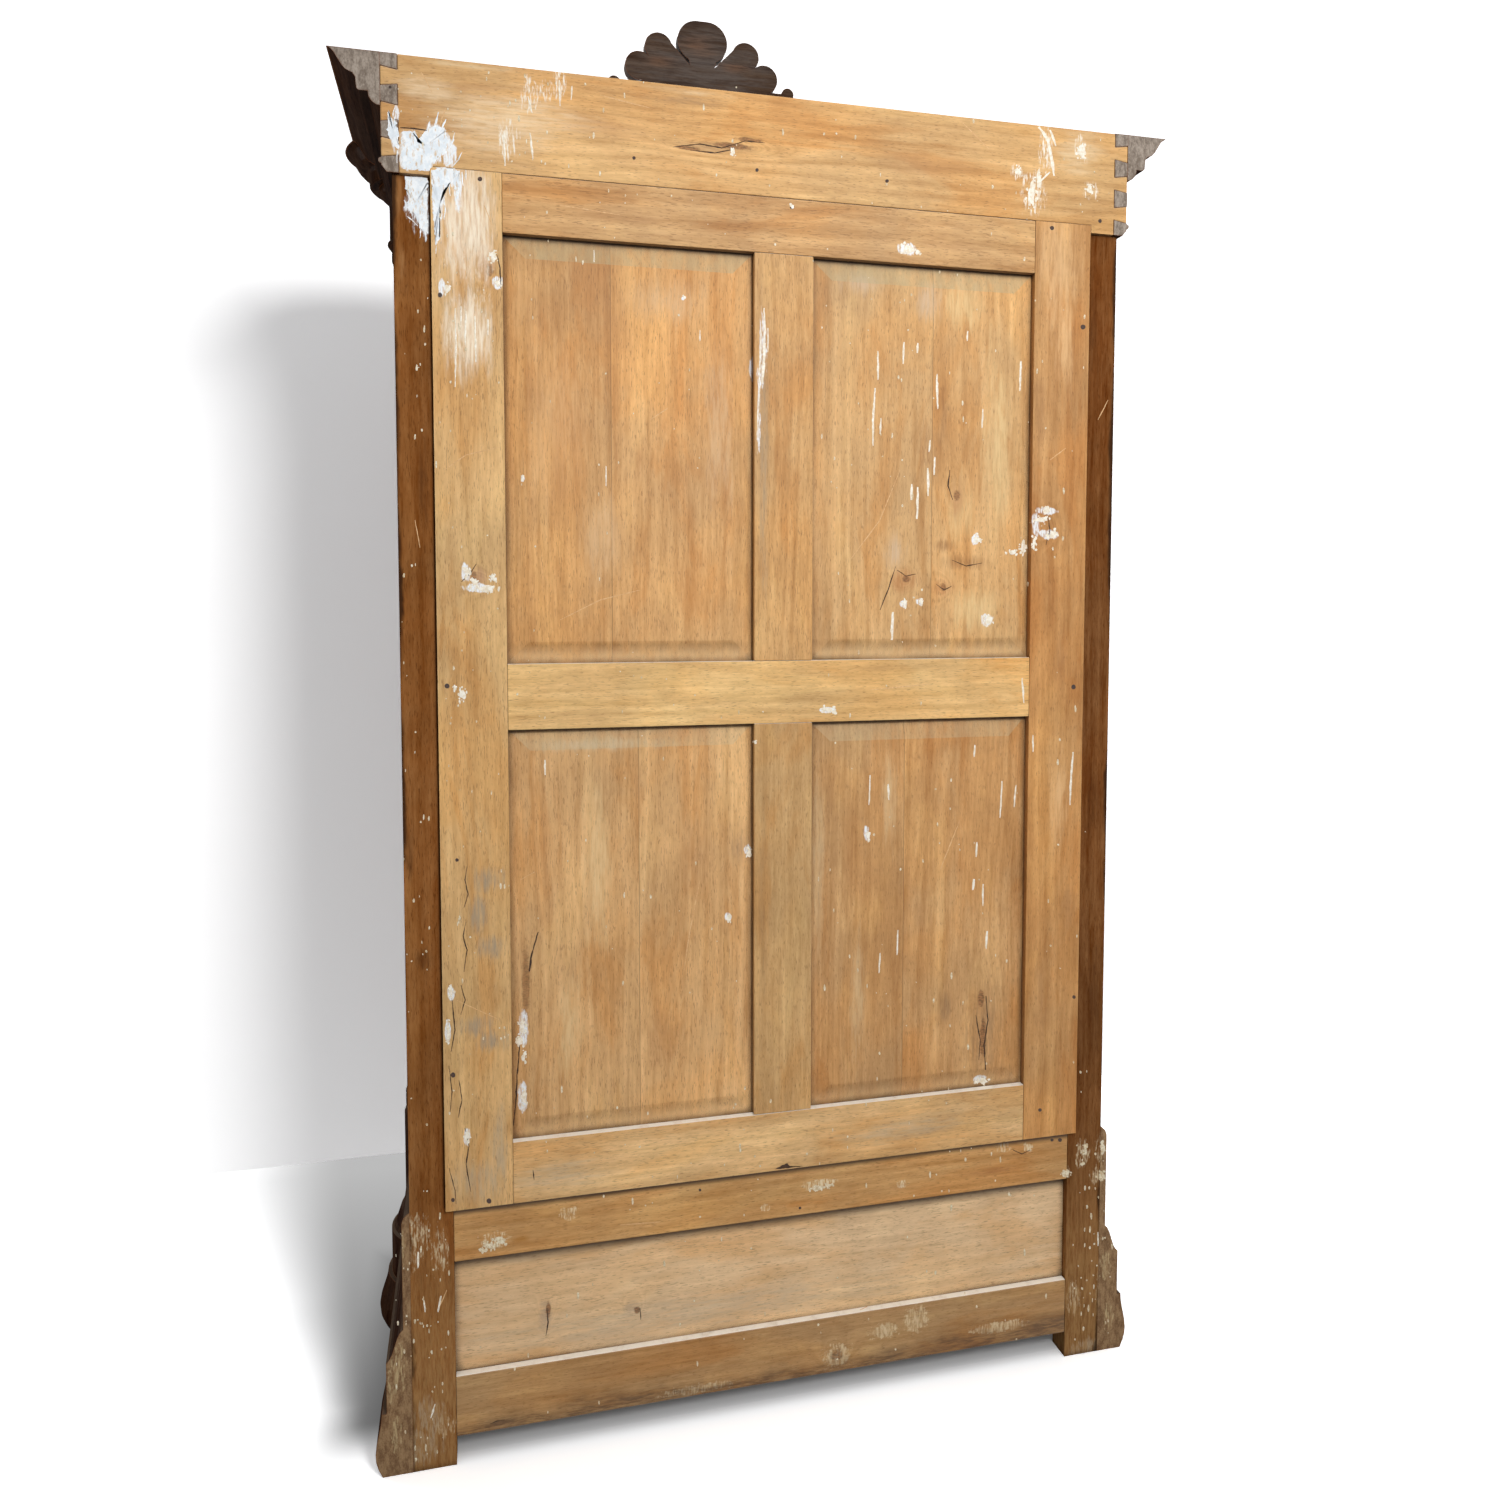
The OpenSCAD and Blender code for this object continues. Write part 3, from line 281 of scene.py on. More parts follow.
def knot_layer(t, colour, spots, cover):
    """The dark heart of a knot, with checks in it."""
    mask = patch_mask(t, spots, 0.28, 0.5, (90, 90, 90))
    checks = t.grain(t.here, (150, 150, 400), 5.0, 0.7)
    dark = t.mix(t.span(checks, 0.40, 0.60), linear(70, 42, 24), linear(150, 98, 56))
    return t.mix(t.times(mask, cover), colour, dark)


def paint(*spots, **settings):
    return paint_layer, spots, settings


def smudge(tone, cover, *spots, **settings):
    return smudge_layer, spots, {"tone": tone, "cover": cover, **settings}


def knot(cover, *spots):
    return knot_layer, spots, {"cover": cover}


# Wood. GRAIN_ORDER gives the axes across, through and along the grain

GRAIN_ORDER = {"x": ("Z", "Y", "X"), "y": ("Z", "X", "Y"), "z": ("X", "Y", "Z")}
ALONG = {"x": (7, 60, 60), "y": (60, 7, 60), "z": (60, 60, 7)}
BOARD_STEP = 3.3
GLUE_LINE = (0.0003, 0.0011)
# The colour of grime and of the painted shade in corners and under things
GRIME_AND_SHADE_TONE = (44, 27, 16)
SHADE_TONE = (40, 26, 16)

# Repeats in a metre across, through and along the grain, then detail, roughness and bend

PATTERNS = {
    "slow": ((3.0, 3.0, 0.9), 2.0, 0.5), "sway": ((16, 16, 3.4), 3.0, 0.55),
    "fibres": ((420, 420, 16), 4.0, 0.62), "silk": ((70, 70, 7.5), 4.0, 0.62, 0.4),
    "fleck": ((230, 230, 44), 3.0, 0.6), "pores": ((760, 760, 85), 2.0, 0.5),
    "drift": ((11, 11, 2.6), 5.0, 0.62, 0.6), "warm": ((6, 6, 2.2), 4.0, 0.6, 0.8),
    "patches": ((60, 60, 24),), "speckle": ((240, 240, 30), 4.0, 0.7),
}

# Tan, straw and amber blotches: where the pattern starts and ends, how strong, and the tint

BLOTCHES = [
    ("drift", 0.50, 0.64, 0.80, (0.90, 0.76, 0.58, 1)),
    ("drift", 0.48, 0.35, 0.85, (1.14, 1.19, 1.20, 1)),
    ("warm", 0.46, 0.62, 0.55, (1.03, 0.90, 0.70, 1)),
]

# What a wood is when its choices don't say otherwise

WORK = {
    "joint": None, "bevels": None, "figure": 1.0, "contrast": 1.0, "rough": 0.62, "coat": 0.0,
    "worn": None, "end_grain": None, "scuffs": None, "dust": 0.6, "knots": (), "layers": (),
    "blotch": 1.0, "edge_dark": None, "low_dirt": None, "band": 52.0, "grime_and_shade": 0.0, "gloss": 0.35,
    "shades": (), "dust_tone": (250, 243, 230), "raw_inside": None,
}


class Wood(Tree):
    """The wood of one piece. Each step gives back the colour it takes, with one thing added."""

    def __init__(self, name, grain, seed, choices):
        super().__init__(bpy.data.materials.new(name))
        self.o = {**WORK, **choices}
        self.along = ALONG[grain]
        self.here = self.node("TexCoord").outputs["Object"]
        self.normal = self.node("NewGeometry").outputs["Normal"]
        self.at = self.axes(self.here)
        self.facing = self.axes(self.normal)
        self.made = {}
        across = self.lay_boards(grain, seed)
        self.cloud = self.noise(self.board, 4.5, 5.0, 0.62)
        self.rings = self.grow_rings(across)

    def lay_boards(self, grain, seed):
        """Sets the place in the board, which jumps at the glue joint, and gives the place across it."""
        start, through, along = (self.at[axis] for axis in GRAIN_ORDER[grain])
        across = self.add(start, 0.37 * seed)
        if self.o["joint"] is not None:
            self.from_joint = self.minus(start, self.o["joint"])
            self.second_board = self.math("GREATER_THAN", self.from_joint, 0.0)
            across = self.add(across, self.times(self.second_board, BOARD_STEP))
        place = {0: across, 1: self.add(through, 0.21 * seed), 2: along}
        self.board = self.node("CombineXYZ", place).outputs[0]
        return across

    def pattern(self, name):
        if name not in self.made:
            self.made[name] = self.grain(self.board, *PATTERNS[name])
        return self.made[name]

    def wobble(self, value, pattern, amount):
        """The value, moved up and down by a pattern."""
        return self.add(value, self.times(self.minus(pattern, 0.5), amount))

    def grow_rings(self, across):
        drift = self.times(self.pattern("slow"), 3.2 * self.o["figure"])
        drift = self.add(drift, self.times(self.pattern("sway"), 1.1))
        ring_at = self.add(self.times(across, self.o["band"]), drift)
        if self.o["knots"]:
            ring_at = self.add(ring_at, self.times(knot_pull(self, self.o["knots"]), 1.5))
        return self.lines(ring_at)

    def bare(self):
        """The wood's own colour: rings, silk, fibres, flecks, blotches, glue joint and pores."""
        figure = self.times(self.pattern("fleck"), 0.20)
        shares = (self.pattern("fibres"), 0.16), (self.pattern("silk"), 0.34), (self.rings, 0.30)
        for part, amount in shares:
            figure = self.add(self.times(part, amount), figure)
        spread = 0.13 / self.o["contrast"]
        self.share = self.span(figure, 0.5 - spread, 0.5 + spread, smooth=False)
        colour = self.mix(self.share, self.o["deep"], self.o["pale"])
        blotch = self.o["blotch"]
        for name, low, high, amount, tone in BLOTCHES:
            strength = self.times(self.span(self.pattern(name), low, high), amount * blotch)
            colour = self.mix(strength, colour, self.tint(colour, tone))
        wash = self.span(self.cloud, 0.3, 0.7, 1 - 0.15 * blotch, 1 + 0.11 * blotch)
        if self.o["joint"] is not None:
            wash = self.times(wash, self.span(self.second_board, 0.0, 1.0, 1.03, 0.95))
            gap = self.span(self.math("ABSOLUTE", self.from_joint), *GLUE_LINE, 0.62, 1.0)
            wash = self.times(wash, gap)
        colour = self.tint(colour, self.grey(wash))
        pored = self.tint(self.o["deep"], (0.42, 0.34, 0.28, 1))
        return self.mix(self.span(self.pattern("pores"), 0.58, 0.68, 0.0, 0.5), colour, pored)

    def layered(self, colour):
        """Paint and smudges show on the outward faces alone."""
        outside = self.span(self.facing["Y"], -0.2, 0.2)
        for layer, spots, settings in self.o["layers"]:
            covered = layer(self, colour, spots, **settings)
            colour = covered if layer is knot_layer else self.mix(outside, colour, covered)
        return colour

    def grey_and_shade_bevels(self, colour, plan):
        """A pale grey top bevel, and a bottom bevel that is dark over a pale foot; that dark is painted
        shade, as the bottom bevel faces down.
        """
        foot, amount = plan
        facing = self.span(self.facing["Y"], 0.5, 0.9)
        rising = self.times(self.span(self.facing["Z"], 0.02, 0.05), facing)
        falling = self.times(self.span(self.facing["Z"], -0.02, -0.05), facing)
        patchy = self.span(self.pattern("patches"), 0.3, 0.65, 0.45, 1.0)
        colour = self.mix(self.times(self.times(rising, patchy), 0.8 * amount), colour, TOP_BEVEL)
        height = self.wobble(self.at["Z"], self.pattern("silk"), 0.010)
        band = self.span(height, foot + 0.15 * BEVEL_WIDE, foot + 0.95 * BEVEL_WIDE)
        dull = self.tint(colour, (0.40, 0.38, 0.31, 1))
        head = foot + BEVEL_WIDE
        shown = self.times(self.span(height, head + 0.006, head - 0.008), patchy)
        shown = self.times(shown, self.add(self.times(falling, 0.45), self.times(facing, 0.45)))
        return self.mix(self.times(shown, amount), colour, self.mix(band, FOOT_BEVEL, dull))

    def dirty_foot(self, colour, plan):
        low, high, dirt, amount = plan
        ragged = self.wobble(self.at["Z"], self.cloud, 0.10)
        speckle = self.span(self.pattern("speckle"), 0.35, 0.65, 0.35, 1.0)
        share = self.times(self.times(self.span(ragged, high, low), amount), speckle)
        return self.mix(share, colour, linear(*dirt))

    def shade_seams(self, colour, plan):
        """Painted shade and shadow under and beside proud edges, each as axis, edge, reach, amount and
        lowest height.
        """
        for axis, edge, reach, amount, above in plan:
            place = self.math("ABSOLUTE", self.at["X"]) if axis == "X" else self.at[axis]
            place = self.wobble(place, self.pattern("silk"), 0.3 * reach)
            started = self.span(self.at["Z"], above, above + 0.004)
            shaded = self.times(self.span(place, edge + reach, edge), started)
            colour = self.mix(self.times(shaded, amount), colour, linear(*SHADE_TONE))
        return colour

    def stain_outside(self, colour, start):
        """The finish of the case's side, which ran round the post's edge."""
        side = self.wobble(self.math("ABSOLUTE", self.at["X"]), self.pattern("drift"), 0.05)
        colour = self.mix(self.span(side, start, start + 0.008, 0.0, 0.85), colour, DARK_BROWN)
        outward = self.times(self.facing["X"], self.at["X"])
        return self.mix(self.span(outward, 0.05, 0.3), colour, DARK_BROWN)

    def cut_ends(self, colour, cut):
        """Raw end grain where the piece was sawn off at the back."""
        streaky = self.grain(self.here, (130, 30, 46), 5.0, 0.62)
        specks = self.grain(self.here, (480, 480, 300), 3.0, 0.6)
        raw = self.add(self.times(streaky, 0.65), self.times(specks, 0.35))
        raw = self.mix(self.span(raw, 0.36, 0.64), *cut)
        if self.o["scuffs"]:
            raw = paint_layer(self, raw, self.o["scuffs"], (206, 182, 138), 0.8, 0.6, 0.0, (0.42, 0.66),
                              (130, 130, 70))
        return self.mix(self.span(self.facing["Y"], 0.6, 0.9), colour, raw)

    def rub_edges(self, colour, bright):
        soft = self.node("Bevel", {"Radius": 0.004}, samples=6).outputs[0]
        bend = self.minus(1.0, self.vector("DOT_PRODUCT", soft, self.normal))
        rub = self.add(bend, self.times(self.minus(self.cloud, 0.62), 0.35))
        return self.mix(self.span(rub, 0.02, 0.22, 0.0, 0.85), colour, bright)

    def add_grime_and_shade(self, colour, amount):
        """Grime and painted shade in the corners and on faces that look down."""
        shut = self.node("AmbientOcclusion", {"Distance": 0.016}, samples=5).outputs["AO"]
        patchy = self.span(self.pattern("sway"), 0.25, 0.6, 0.55, 1.0)
        corner = self.times(self.span(shut, 0.86, 0.42), patchy)
        hanging = self.span(self.facing["Z"], -0.5, -0.9, 0.0, 0.85)
        return self.mix(self.times(self.most(corner, hanging), amount), colour, linear(*GRIME_AND_SHADE_TONE))

    def bare_inside(self, colour, tone):
        turned = self.times(self.facing["X"], self.at["X"])
        raw = self.mix(self.share, tone["deep"], tone["pale"])
        return self.mix(self.span(turned, -0.1, -0.3), colour, raw)

    def dusted(self, colour):
        """Dust on what lies flat; on the back its near-white tone is also painted light on the lit
        ledges. Gives the colour and how dusty a place is.
        """
        lying = self.span(self.facing["Z"], 0.30, 0.80)
        patchy = self.span(self.grain(self.here, (40, 40, 40), 5.0, 0.7), 0.2, 0.55, 0.62, 1.0)
        dusty = self.times(self.times(lying, patchy), self.o["dust"])
        return self.mix(dusty, colour, linear(*self.o["dust_tone"])), dusty

    def sealed(self, colour, dusty):
        sheen = self.add(self.times(self.minus(self.cloud, 0.5), 0.25), self.o["rough"])
        rough = self.math("MINIMUM", self.add(sheen, self.times(dusty, 0.4)), 1.0)
        relief = self.add(self.times(self.pattern("pores"), -0.35), self.times(self.rings, 0.5))
        relief = self.add(self.times(self.pattern("fibres"), 0.5), relief)
        shader = self.shader(colour, rough, relief, 0.5, 0.0007)
        shader.inputs["Specular IOR Level"].default_value = self.o["gloss"]
        shader.inputs["Coat Weight"].default_value = self.o["coat"]
        shader.inputs["Coat Roughness"].default_value = 0.25
        return self.finish(shader.outputs[0])


AGEING = {
    "bevels": Wood.grey_and_shade_bevels, "low_dirt": Wood.dirty_foot, "shades": Wood.shade_seams,
    "edge_dark": Wood.stain_outside, "end_grain": Wood.cut_ends, "worn": Wood.rub_edges,
    "grime_and_shade": Wood.add_grime_and_shade, "raw_inside": Wood.bare_inside,
}


def wood(name, grain="z", seed=0, **choices):
    """A material of wood with all that its choices ask for."""
    t = Wood(name, grain, seed, choices)
    colour = t.layered(t.bare())
    for choice, step in AGEING.items():
        if t.o[choice]:
            colour = step(t, colour, t.o[choice])
    return t.sealed(*t.dusted(colour))


# Brass, iron and plain coats


def metal(name, bright, dull, rough, metallic):
    """Old metal: brushed, spotted by patina and rubbed bright in places."""
    t = Tree(bpy.data.materials.new(name))
    here = t.node("TexCoord").outputs["Object"]
    spots = t.grain(here, (260, 260, 260), 5.0, 0.7)
    brushed = t.grain(here, (900, 900, 60), 2.0, 0.5)
    colour = t.mix(t.span(spots, 0.42, 0.62), linear(*bright), linear(*dull))
    roughness = t.span(t.add(spots, t.times(brushed, 0.3)), 0.4, 0.9, rough, rough + 0.3)
    shader = t.shader(colour, roughness, t.add(spots, brushed), 0.25, 0.0003)
    shader.inputs["Metallic"].default_value = metallic
    return t.finish(shader.outputs[0])


def coat(name, tone, other, rough, scale=260.0, under=None):
    """A mottled coat with a fine rough surface, worn through to the wood if that is given."""
    t = Tree(bpy.data.materials.new(name))
    here = t.node("TexCoord").outputs["Object"]
    mottle = t.noise(here, scale, 5.0, 0.65)
    shade = t.mix(t.span(mottle, 0.38, 0.62), linear(*tone), linear(*other))
    if under:
        thin = t.grain(here, (210, 210, 60), 5.0, 0.7)
        shade = t.mix(t.span(thin, 0.54, 0.66, 0.0, 0.85), shade, linear(*under))
    roughness = t.span(mottle, 0.3, 0.7, rough - 0.1, rough + 0.12)
    return t.finish(t.shader(shade, roughness, mottle, 0.4, 0.0004).outputs[0])


# The woods of the object, named by what the photograph shows


def tones(r, g, b, spread=26):
    """A pale and a deep shade round a middle colour."""
    b *= 0.96
    pale = linear(min(r + 0.55 * spread, 250), min(g + 0.55 * spread, 250), b + 0.5 * spread)
    deep = linear(max(r - spread, 5), max(g - 1.05 * spread, 4), max(b - spread, 3))
    return {"pale": pale, "deep": deep}


def board(grain, tone, layers=(), **choices):
    return dict(grain=grain, layers=layers, **tones(*tone), **choices)


# The panels: the x of each glue joint at a height in the photograph, and the bevels

PANEL_JOINTS = {"upper_right": 612, "upper_left": 934, "lower_right": 640, "lower_left": 905}
JOINT_HEIGHTS = {"upper": 450, "lower": 900}
FOOT_BEVEL = linear(224, 192, 146)
TOP_BEVEL = linear(184, 168, 130)
BEVEL_SHOWN = {"upper": 0.7, "lower": 0.45}
BEVEL_WIDE = 0.036
PANEL_FEET = {"upper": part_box("back_middle_rail")[1].z, "lower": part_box("back_bottom_rail")[1].z}
PANEL_HEADS = {"upper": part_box("back_top_rail")[0].z, "lower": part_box("back_middle_rail")[0].z}
FRAME_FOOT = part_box("back_stile_left")[0].z
FRAME_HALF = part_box("back_stile_right")[1].x
BASE_RAIL_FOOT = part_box("base_back_upper_rail")[0].z

# The boards of the base lie behind the frame, so they are seen some way under its edge

SIGHT_DROP = 0.6
RAIL_DEEP = BACK_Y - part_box("base_back_upper_rail")[1].y
PANEL_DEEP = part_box("base_back_upper_rail")[1].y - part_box("base_back_panel")[1].y

# The case's dark finish, and scuffs on both posts

DARK_BROWN = linear(44, 30, 22)
SCUFFS = [(418, 1240, 16, 26), (408, 1256, 12, 20), (440, 1256, 9, 26), (399, 1372, 9, 22),
          (398, 1280, 6, 60), (446, 1430, 12, 12), (1085, 1156, 8, 14), (1103, 1150, 6, 16),
          (1066, 1175, 7, 8), (1100, 1178, 8, 8), (1075, 1300, 8, 20), (1104, 1290, 6, 26)]


def post(tone):
    return board("z", tone, [
        smudge((180, 132, 84), 0.5, (398, 190, 6, 30), (402, 262, 5, 20), (398, 1150, 5, 60)),
        smudge((86, 52, 28), 0.6, (422, 962, 16, 14), (410, 860, 5, 30), (1096, 330, 10, 60),
            (1092, 800, 12, 60), (1096, 1000, 10, 70), (424, 480, 8, 60)),
        paint((417, 196, 12, 34), (424, 216, 7, 22), thin=0.0, bite=(0.36, 0.60)),
        paint(*SCUFFS, tone=CREAM, cover=0.8, ragged=0.6, thin=0.0, bite=(0.42, 0.66),
            streaks=(120, 120, 50)),
        paint((412, 1452, 30, 22), (430, 1420, 18, 20), (1090, 1352, 22, 12), tone=(196, 180, 152),
            cover=0.75, ragged=0.5, thin=0.15, bite=(0.36, 0.64), streaks=(170, 170, 16))],
        # Painted shade on the post beside the proud frame's edge
        rough=0.5, gloss=0.0, band=44.0, shades=[("X", FRAME_HALF, 0.006, 0.85, FRAME_FOOT)],
        edge_dark=CASE_HALF - 0.006, low_dirt=(0.10, 0.52, (182, 140, 90), 0.7))


BACK_WOODS = {
    "back_stile_right": board("z", (216, 174, 122), [
        smudge((176, 130, 104), 0.55, (486, 266, 14, 22), (478, 576, 15, 12)),
        smudge((152, 142, 124), 0.75, (488, 880, 22, 18), (478, 915, 16, 26), (490, 948, 20, 18),
            (474, 1026, 26, 16), (492, 1040, 18, 16), ragged=0.6),
        smudge((176, 164, 142), 0.5, (480, 1180, 34, 30), (500, 1150, 12, 60)),
        knot(0.6, (490, 270, 5, 8), (474, 576, 4, 5)),
        smudge((254, 240, 216), 0.9, (466, 220, 40, 84), (468, 330, 30, 56)),
        paint((470, 262, 26, 24), (478, 300, 16, 18), (460, 330, 20, 40), tone=(246, 230, 204), cover=0.6,
            thin=0.0, bite=(0.44, 0.7), streaks=(150, 150, 46)),
        paint((438, 198, 6, 44), (449, 177, 12, 13), (458, 190, 4, 24), (498, 283, 6, 7),
            (442, 287, 4, 10), (478, 588, 15, 5), (466, 572, 5, 10), (451, 992, 4, 8), (448, 1032, 3, 14),
            (467, 1137, 4, 10))],
        knots=[(486, 268, 16, 24), (480, 582, 17, 12)]),
    "back_stile_left": board("z", (198, 148, 96), [
        paint((1046, 511, 13, 4), (1036, 524, 4, 15), (1049, 534, 11, 5), cover=0.85, thin=0.1),
        smudge((150, 106, 66), 0.4, (1068, 905, 9, 30), (1040, 420, 10, 60), (1060, 660, 12, 40),
            (1042, 1000, 12, 50)),
        smudge((240, 196, 142), 0.6, (1060, 270, 24, 80), (1066, 340, 12, 70), (1058, 800, 12, 60))],
        knots=[(1046, 528, 13, 16)]),
    "back_top_rail": board("x", (204, 160, 112), [
        paint((907, 249, 10, 6), thin=0.0),
        smudge((170, 122, 76), 0.35, (620, 214, 60, 14), (960, 245, 50, 12))]),
    "back_middle_rail": board("x", (226, 184, 128), [
        paint((826, 710, 10, 3), (462, 694, 5, 10)),
        smudge((176, 132, 84), 0.3, (600, 712, 70, 6), (900, 668, 90, 6))]),
    "back_bottom_rail": board("x", (226, 184, 134), [
        smudge((190, 176, 150), 0.45, (560, 1175, 60, 20), (900, 1130, 80, 16))]),
    "back_muntin_upper": board("z", (208, 162, 110), [
        smudge((158, 140, 114), 0.6, (764, 450, 7, 190)),
        paint((763, 345, 4, 36), (761, 372, 4, 18), (759, 420, 2, 40), ragged=0.5, thin=0.0,
            bite=(0.4, 0.64), streaks=(220, 220, 26))]),
    "back_muntin_lower": board("z", (200, 160, 112), [
        smudge((150, 120, 84), 0.4, (762, 930, 6, 160))]),
    "back_panel_upper_right": board("z", (214, 165, 112), [
        smudge((190, 128, 66), 0.6, (690, 590, 22, 44), (700, 560, 14, 20)),
        smudge((232, 184, 128), 0.5, (560, 420, 40, 120), (520, 300, 12, 60)),
        smudge((226, 190, 146), 0.5, (668, 300, 50, 30), (600, 540, 30, 60), (720, 420, 18, 110)),
        smudge((186, 128, 72), 0.45, (560, 480, 12, 60), (616, 400, 7, 150), (640, 460, 10, 30)),
        paint((755, 368, 4, 16), (684, 297, 2, 2), (523, 478, 2, 4))],
        band=70.0, contrast=1.0),
    "back_panel_upper_left": board("z", (214, 170, 120), [
        smudge((232, 200, 144), 0.75, (965, 305, 22, 34), (962, 510, 20, 40), (1000, 440, 18, 120),
            (975, 610, 34, 26)),
        smudge((208, 184, 156), 0.6, (866, 282, 28, 18), (896, 552, 14, 26), (930, 300, 16, 26)),
        smudge((140, 92, 48), 0.6, (930, 450, 11, 44), (946, 410, 8, 50), (966, 562, 24, 9),
            (944, 545, 14, 8)),
        smudge((176, 112, 60), 0.6, (960, 500, 12, 26), (906, 580, 20, 16), (944, 588, 16, 12)),
        knot(0.7, (959, 495, 4, 7), (908, 579, 5, 4), (945, 587, 4, 5)),
        paint((977, 539, 5, 6), (905, 604, 4, 4), (921, 602, 4, 4), (989, 620, 7, 7), thin=0.1)],
        band=60.0, knots=[(959, 495, 12, 22), (908, 579, 12, 12), (945, 587, 10, 12)]),
    "back_panel_lower_right": board("z", (218, 172, 122), [
        smudge((232, 200, 148), 0.7, (598, 860, 18, 130), (570, 1030, 16, 70)),
        smudge((170, 118, 70), 0.4, (545, 860, 12, 90), (640, 800, 10, 70), (700, 860, 24, 60),
            (660, 1040, 30, 50)),
        smudge((206, 190, 158), 0.5, (600, 745, 90, 9)),
        smudge((160, 130, 100), 0.5, (740, 850, 14, 20)),
        knot(0.55, (526, 985, 5, 44)),
        paint((524, 1030, 5, 20), (523, 1098, 5, 17), (749, 851, 4, 5), (729, 918, 4, 5))],
        band=64.0, figure=1.8),
    "back_panel_lower_left": board("z", (202, 156, 108), [
        smudge((134, 104, 74), 0.55, (982, 1030, 24, 56), (948, 1008, 12, 18)),
        smudge((222, 194, 150), 0.5, (820, 860, 8, 130), (890, 800, 10, 70), (860, 1000, 12, 80)),
        smudge((160, 110, 62), 0.45, (850, 880, 10, 90), (930, 900, 12, 110), (900, 960, 10, 60)),
        knot(0.75, (983, 1000, 4, 10), (985, 1040, 4, 26)),
        paint((983, 1081, 7, 4), (868, 835, 3, 8))],
        band=64.0, figure=2.2, knots=[(984, 1035, 16, 50)]),
    "base_back_upper_rail": board("x", (200, 154, 102), [
        paint((494, 1243, 15, 9), (820, 1187, 18, 6), (569, 1216, 9, 8), (905, 1186, 7, 4),
            (1004, 1150, 8, 6), (1030, 1150, 6, 5), (766, 1210, 6, 4), tone=CREAM, ragged=0.6, thin=0.0,
            bite=(0.42, 0.64), streaks=(70, 70, 190)),
        smudge((166, 112, 48), 0.8, (521, 1242, 13, 7)),
        smudge((152, 96, 58), 0.4, (900, 1190, 14, 5), (1000, 1172, 30, 6))],
        # Painted shadow of the proud frame on the rail under it
        shades=[("Z", FRAME_FOOT - SIGHT_DROP * RAIL_DEEP, -0.012, 0.9, 0.0)]),
    "base_back_panel": board("x", (236, 201, 163), [
        smudge((190, 172, 146), 0.45, (700, 1320, 260, 26)),
        smudge((160, 136, 120), 0.6, (546, 1322, 9, 20), (634, 1316, 12, 12)),
        knot(0.8, (549, 1318, 3, 11), (639, 1318, 4, 4))],
        contrast=0.7, blotch=0.7, knots=[(548, 1320, 9, 20), (636, 1317, 14, 14)],
        # Painted shadow of the rail on the panel under it
        shades=[("Z", BASE_RAIL_FOOT - SIGHT_DROP * PANEL_DEEP, -0.02, 0.85, 0.0)]),
    "base_back_lower_rail": board("x", (188, 148, 104), [
        paint((885, 1334, 16, 8), (918, 1322, 13, 14), (838, 1359, 15, 14), (700, 1392, 40, 5),
            (1000, 1330, 30, 6), tone=(226, 204, 164), cover=0.8, ragged=0.6, thin=0.1, bite=(0.4, 0.62),
            streaks=(90, 90, 130)),
        knot(0.7, (838, 1358, 8, 7))],
        knots=[(836, 1358, 16, 16)], low_dirt=(0.052, 0.082, (70, 48, 34), 0.8)),
    "back_post_right": post((144, 95, 54, 28)),
    "back_post_left": post((124, 80, 46, 28)),
    "cornice_back": board("x", (214, 170, 118), [
        smudge((248, 222, 184), 0.55, (500, 120, 110, 44), (430, 90, 40, 20)),
        smudge((184, 134, 86), 0.4, (470, 88, 45, 12), (610, 130, 60, 14), (930, 165, 70, 16),
            (560, 190, 70, 8)),
        smudge((150, 118, 86), 0.5, (718, 147, 54, 8), (690, 100, 50, 8)),
        knot(0.75, (733, 146, 24, 4), (750, 140, 16, 3), (689, 148, 14, 3)),
        paint((394, 134, 4, 22), (396, 118, 3, 12), (409, 150, 12, 20), (433, 145, 14, 20),
            (449, 151, 8, 18)),
        paint((530, 94, 12, 20), (548, 90, 12, 12), (560, 84, 8, 18), (508, 140, 12, 20),
            (1046, 150, 8, 30), (1033, 194, 14, 24), (1081, 151, 9, 16), (1090, 189, 8, 10),
            (1017, 172, 7, 10), (733, 152, 4, 5), tone=(248, 240, 224), ragged=0.5, thin=0.0,
            bite=(0.46, 0.66), streaks=(170, 170, 40)),
        smudge((232, 208, 168), 0.6, (470, 66, 60, 5), (690, 92, 60, 4), (1080, 150, 30, 30))],
        figure=1.4, knots=[(722, 147, 70, 10), (736, 146, 26, 8)]),
}

INNER_WOODS = {
    "floor_boards": board("x", (180, 136, 88), dust=0.25),
    "ceiling_boards": board("x", (160, 122, 84), dust=0.85),
    "hat_shelf": board("x", (188, 142, 92), dust=0.2),
    "shelf_battens": board("y", (170, 128, 84)),
    "peg_rail": board("x", (178, 134, 88)),
    "pegs": board("y", (164, 116, 70), rough=0.42),
    "drawer_box": board("y", (196, 154, 106)),
    "drawer_bottom": board("x", (194, 150, 100), dust=0.2),
    "drawer_runners": board("y", (172, 132, 88)),
}

# The stained wood of the front and the sides, and how some pieces differ from it

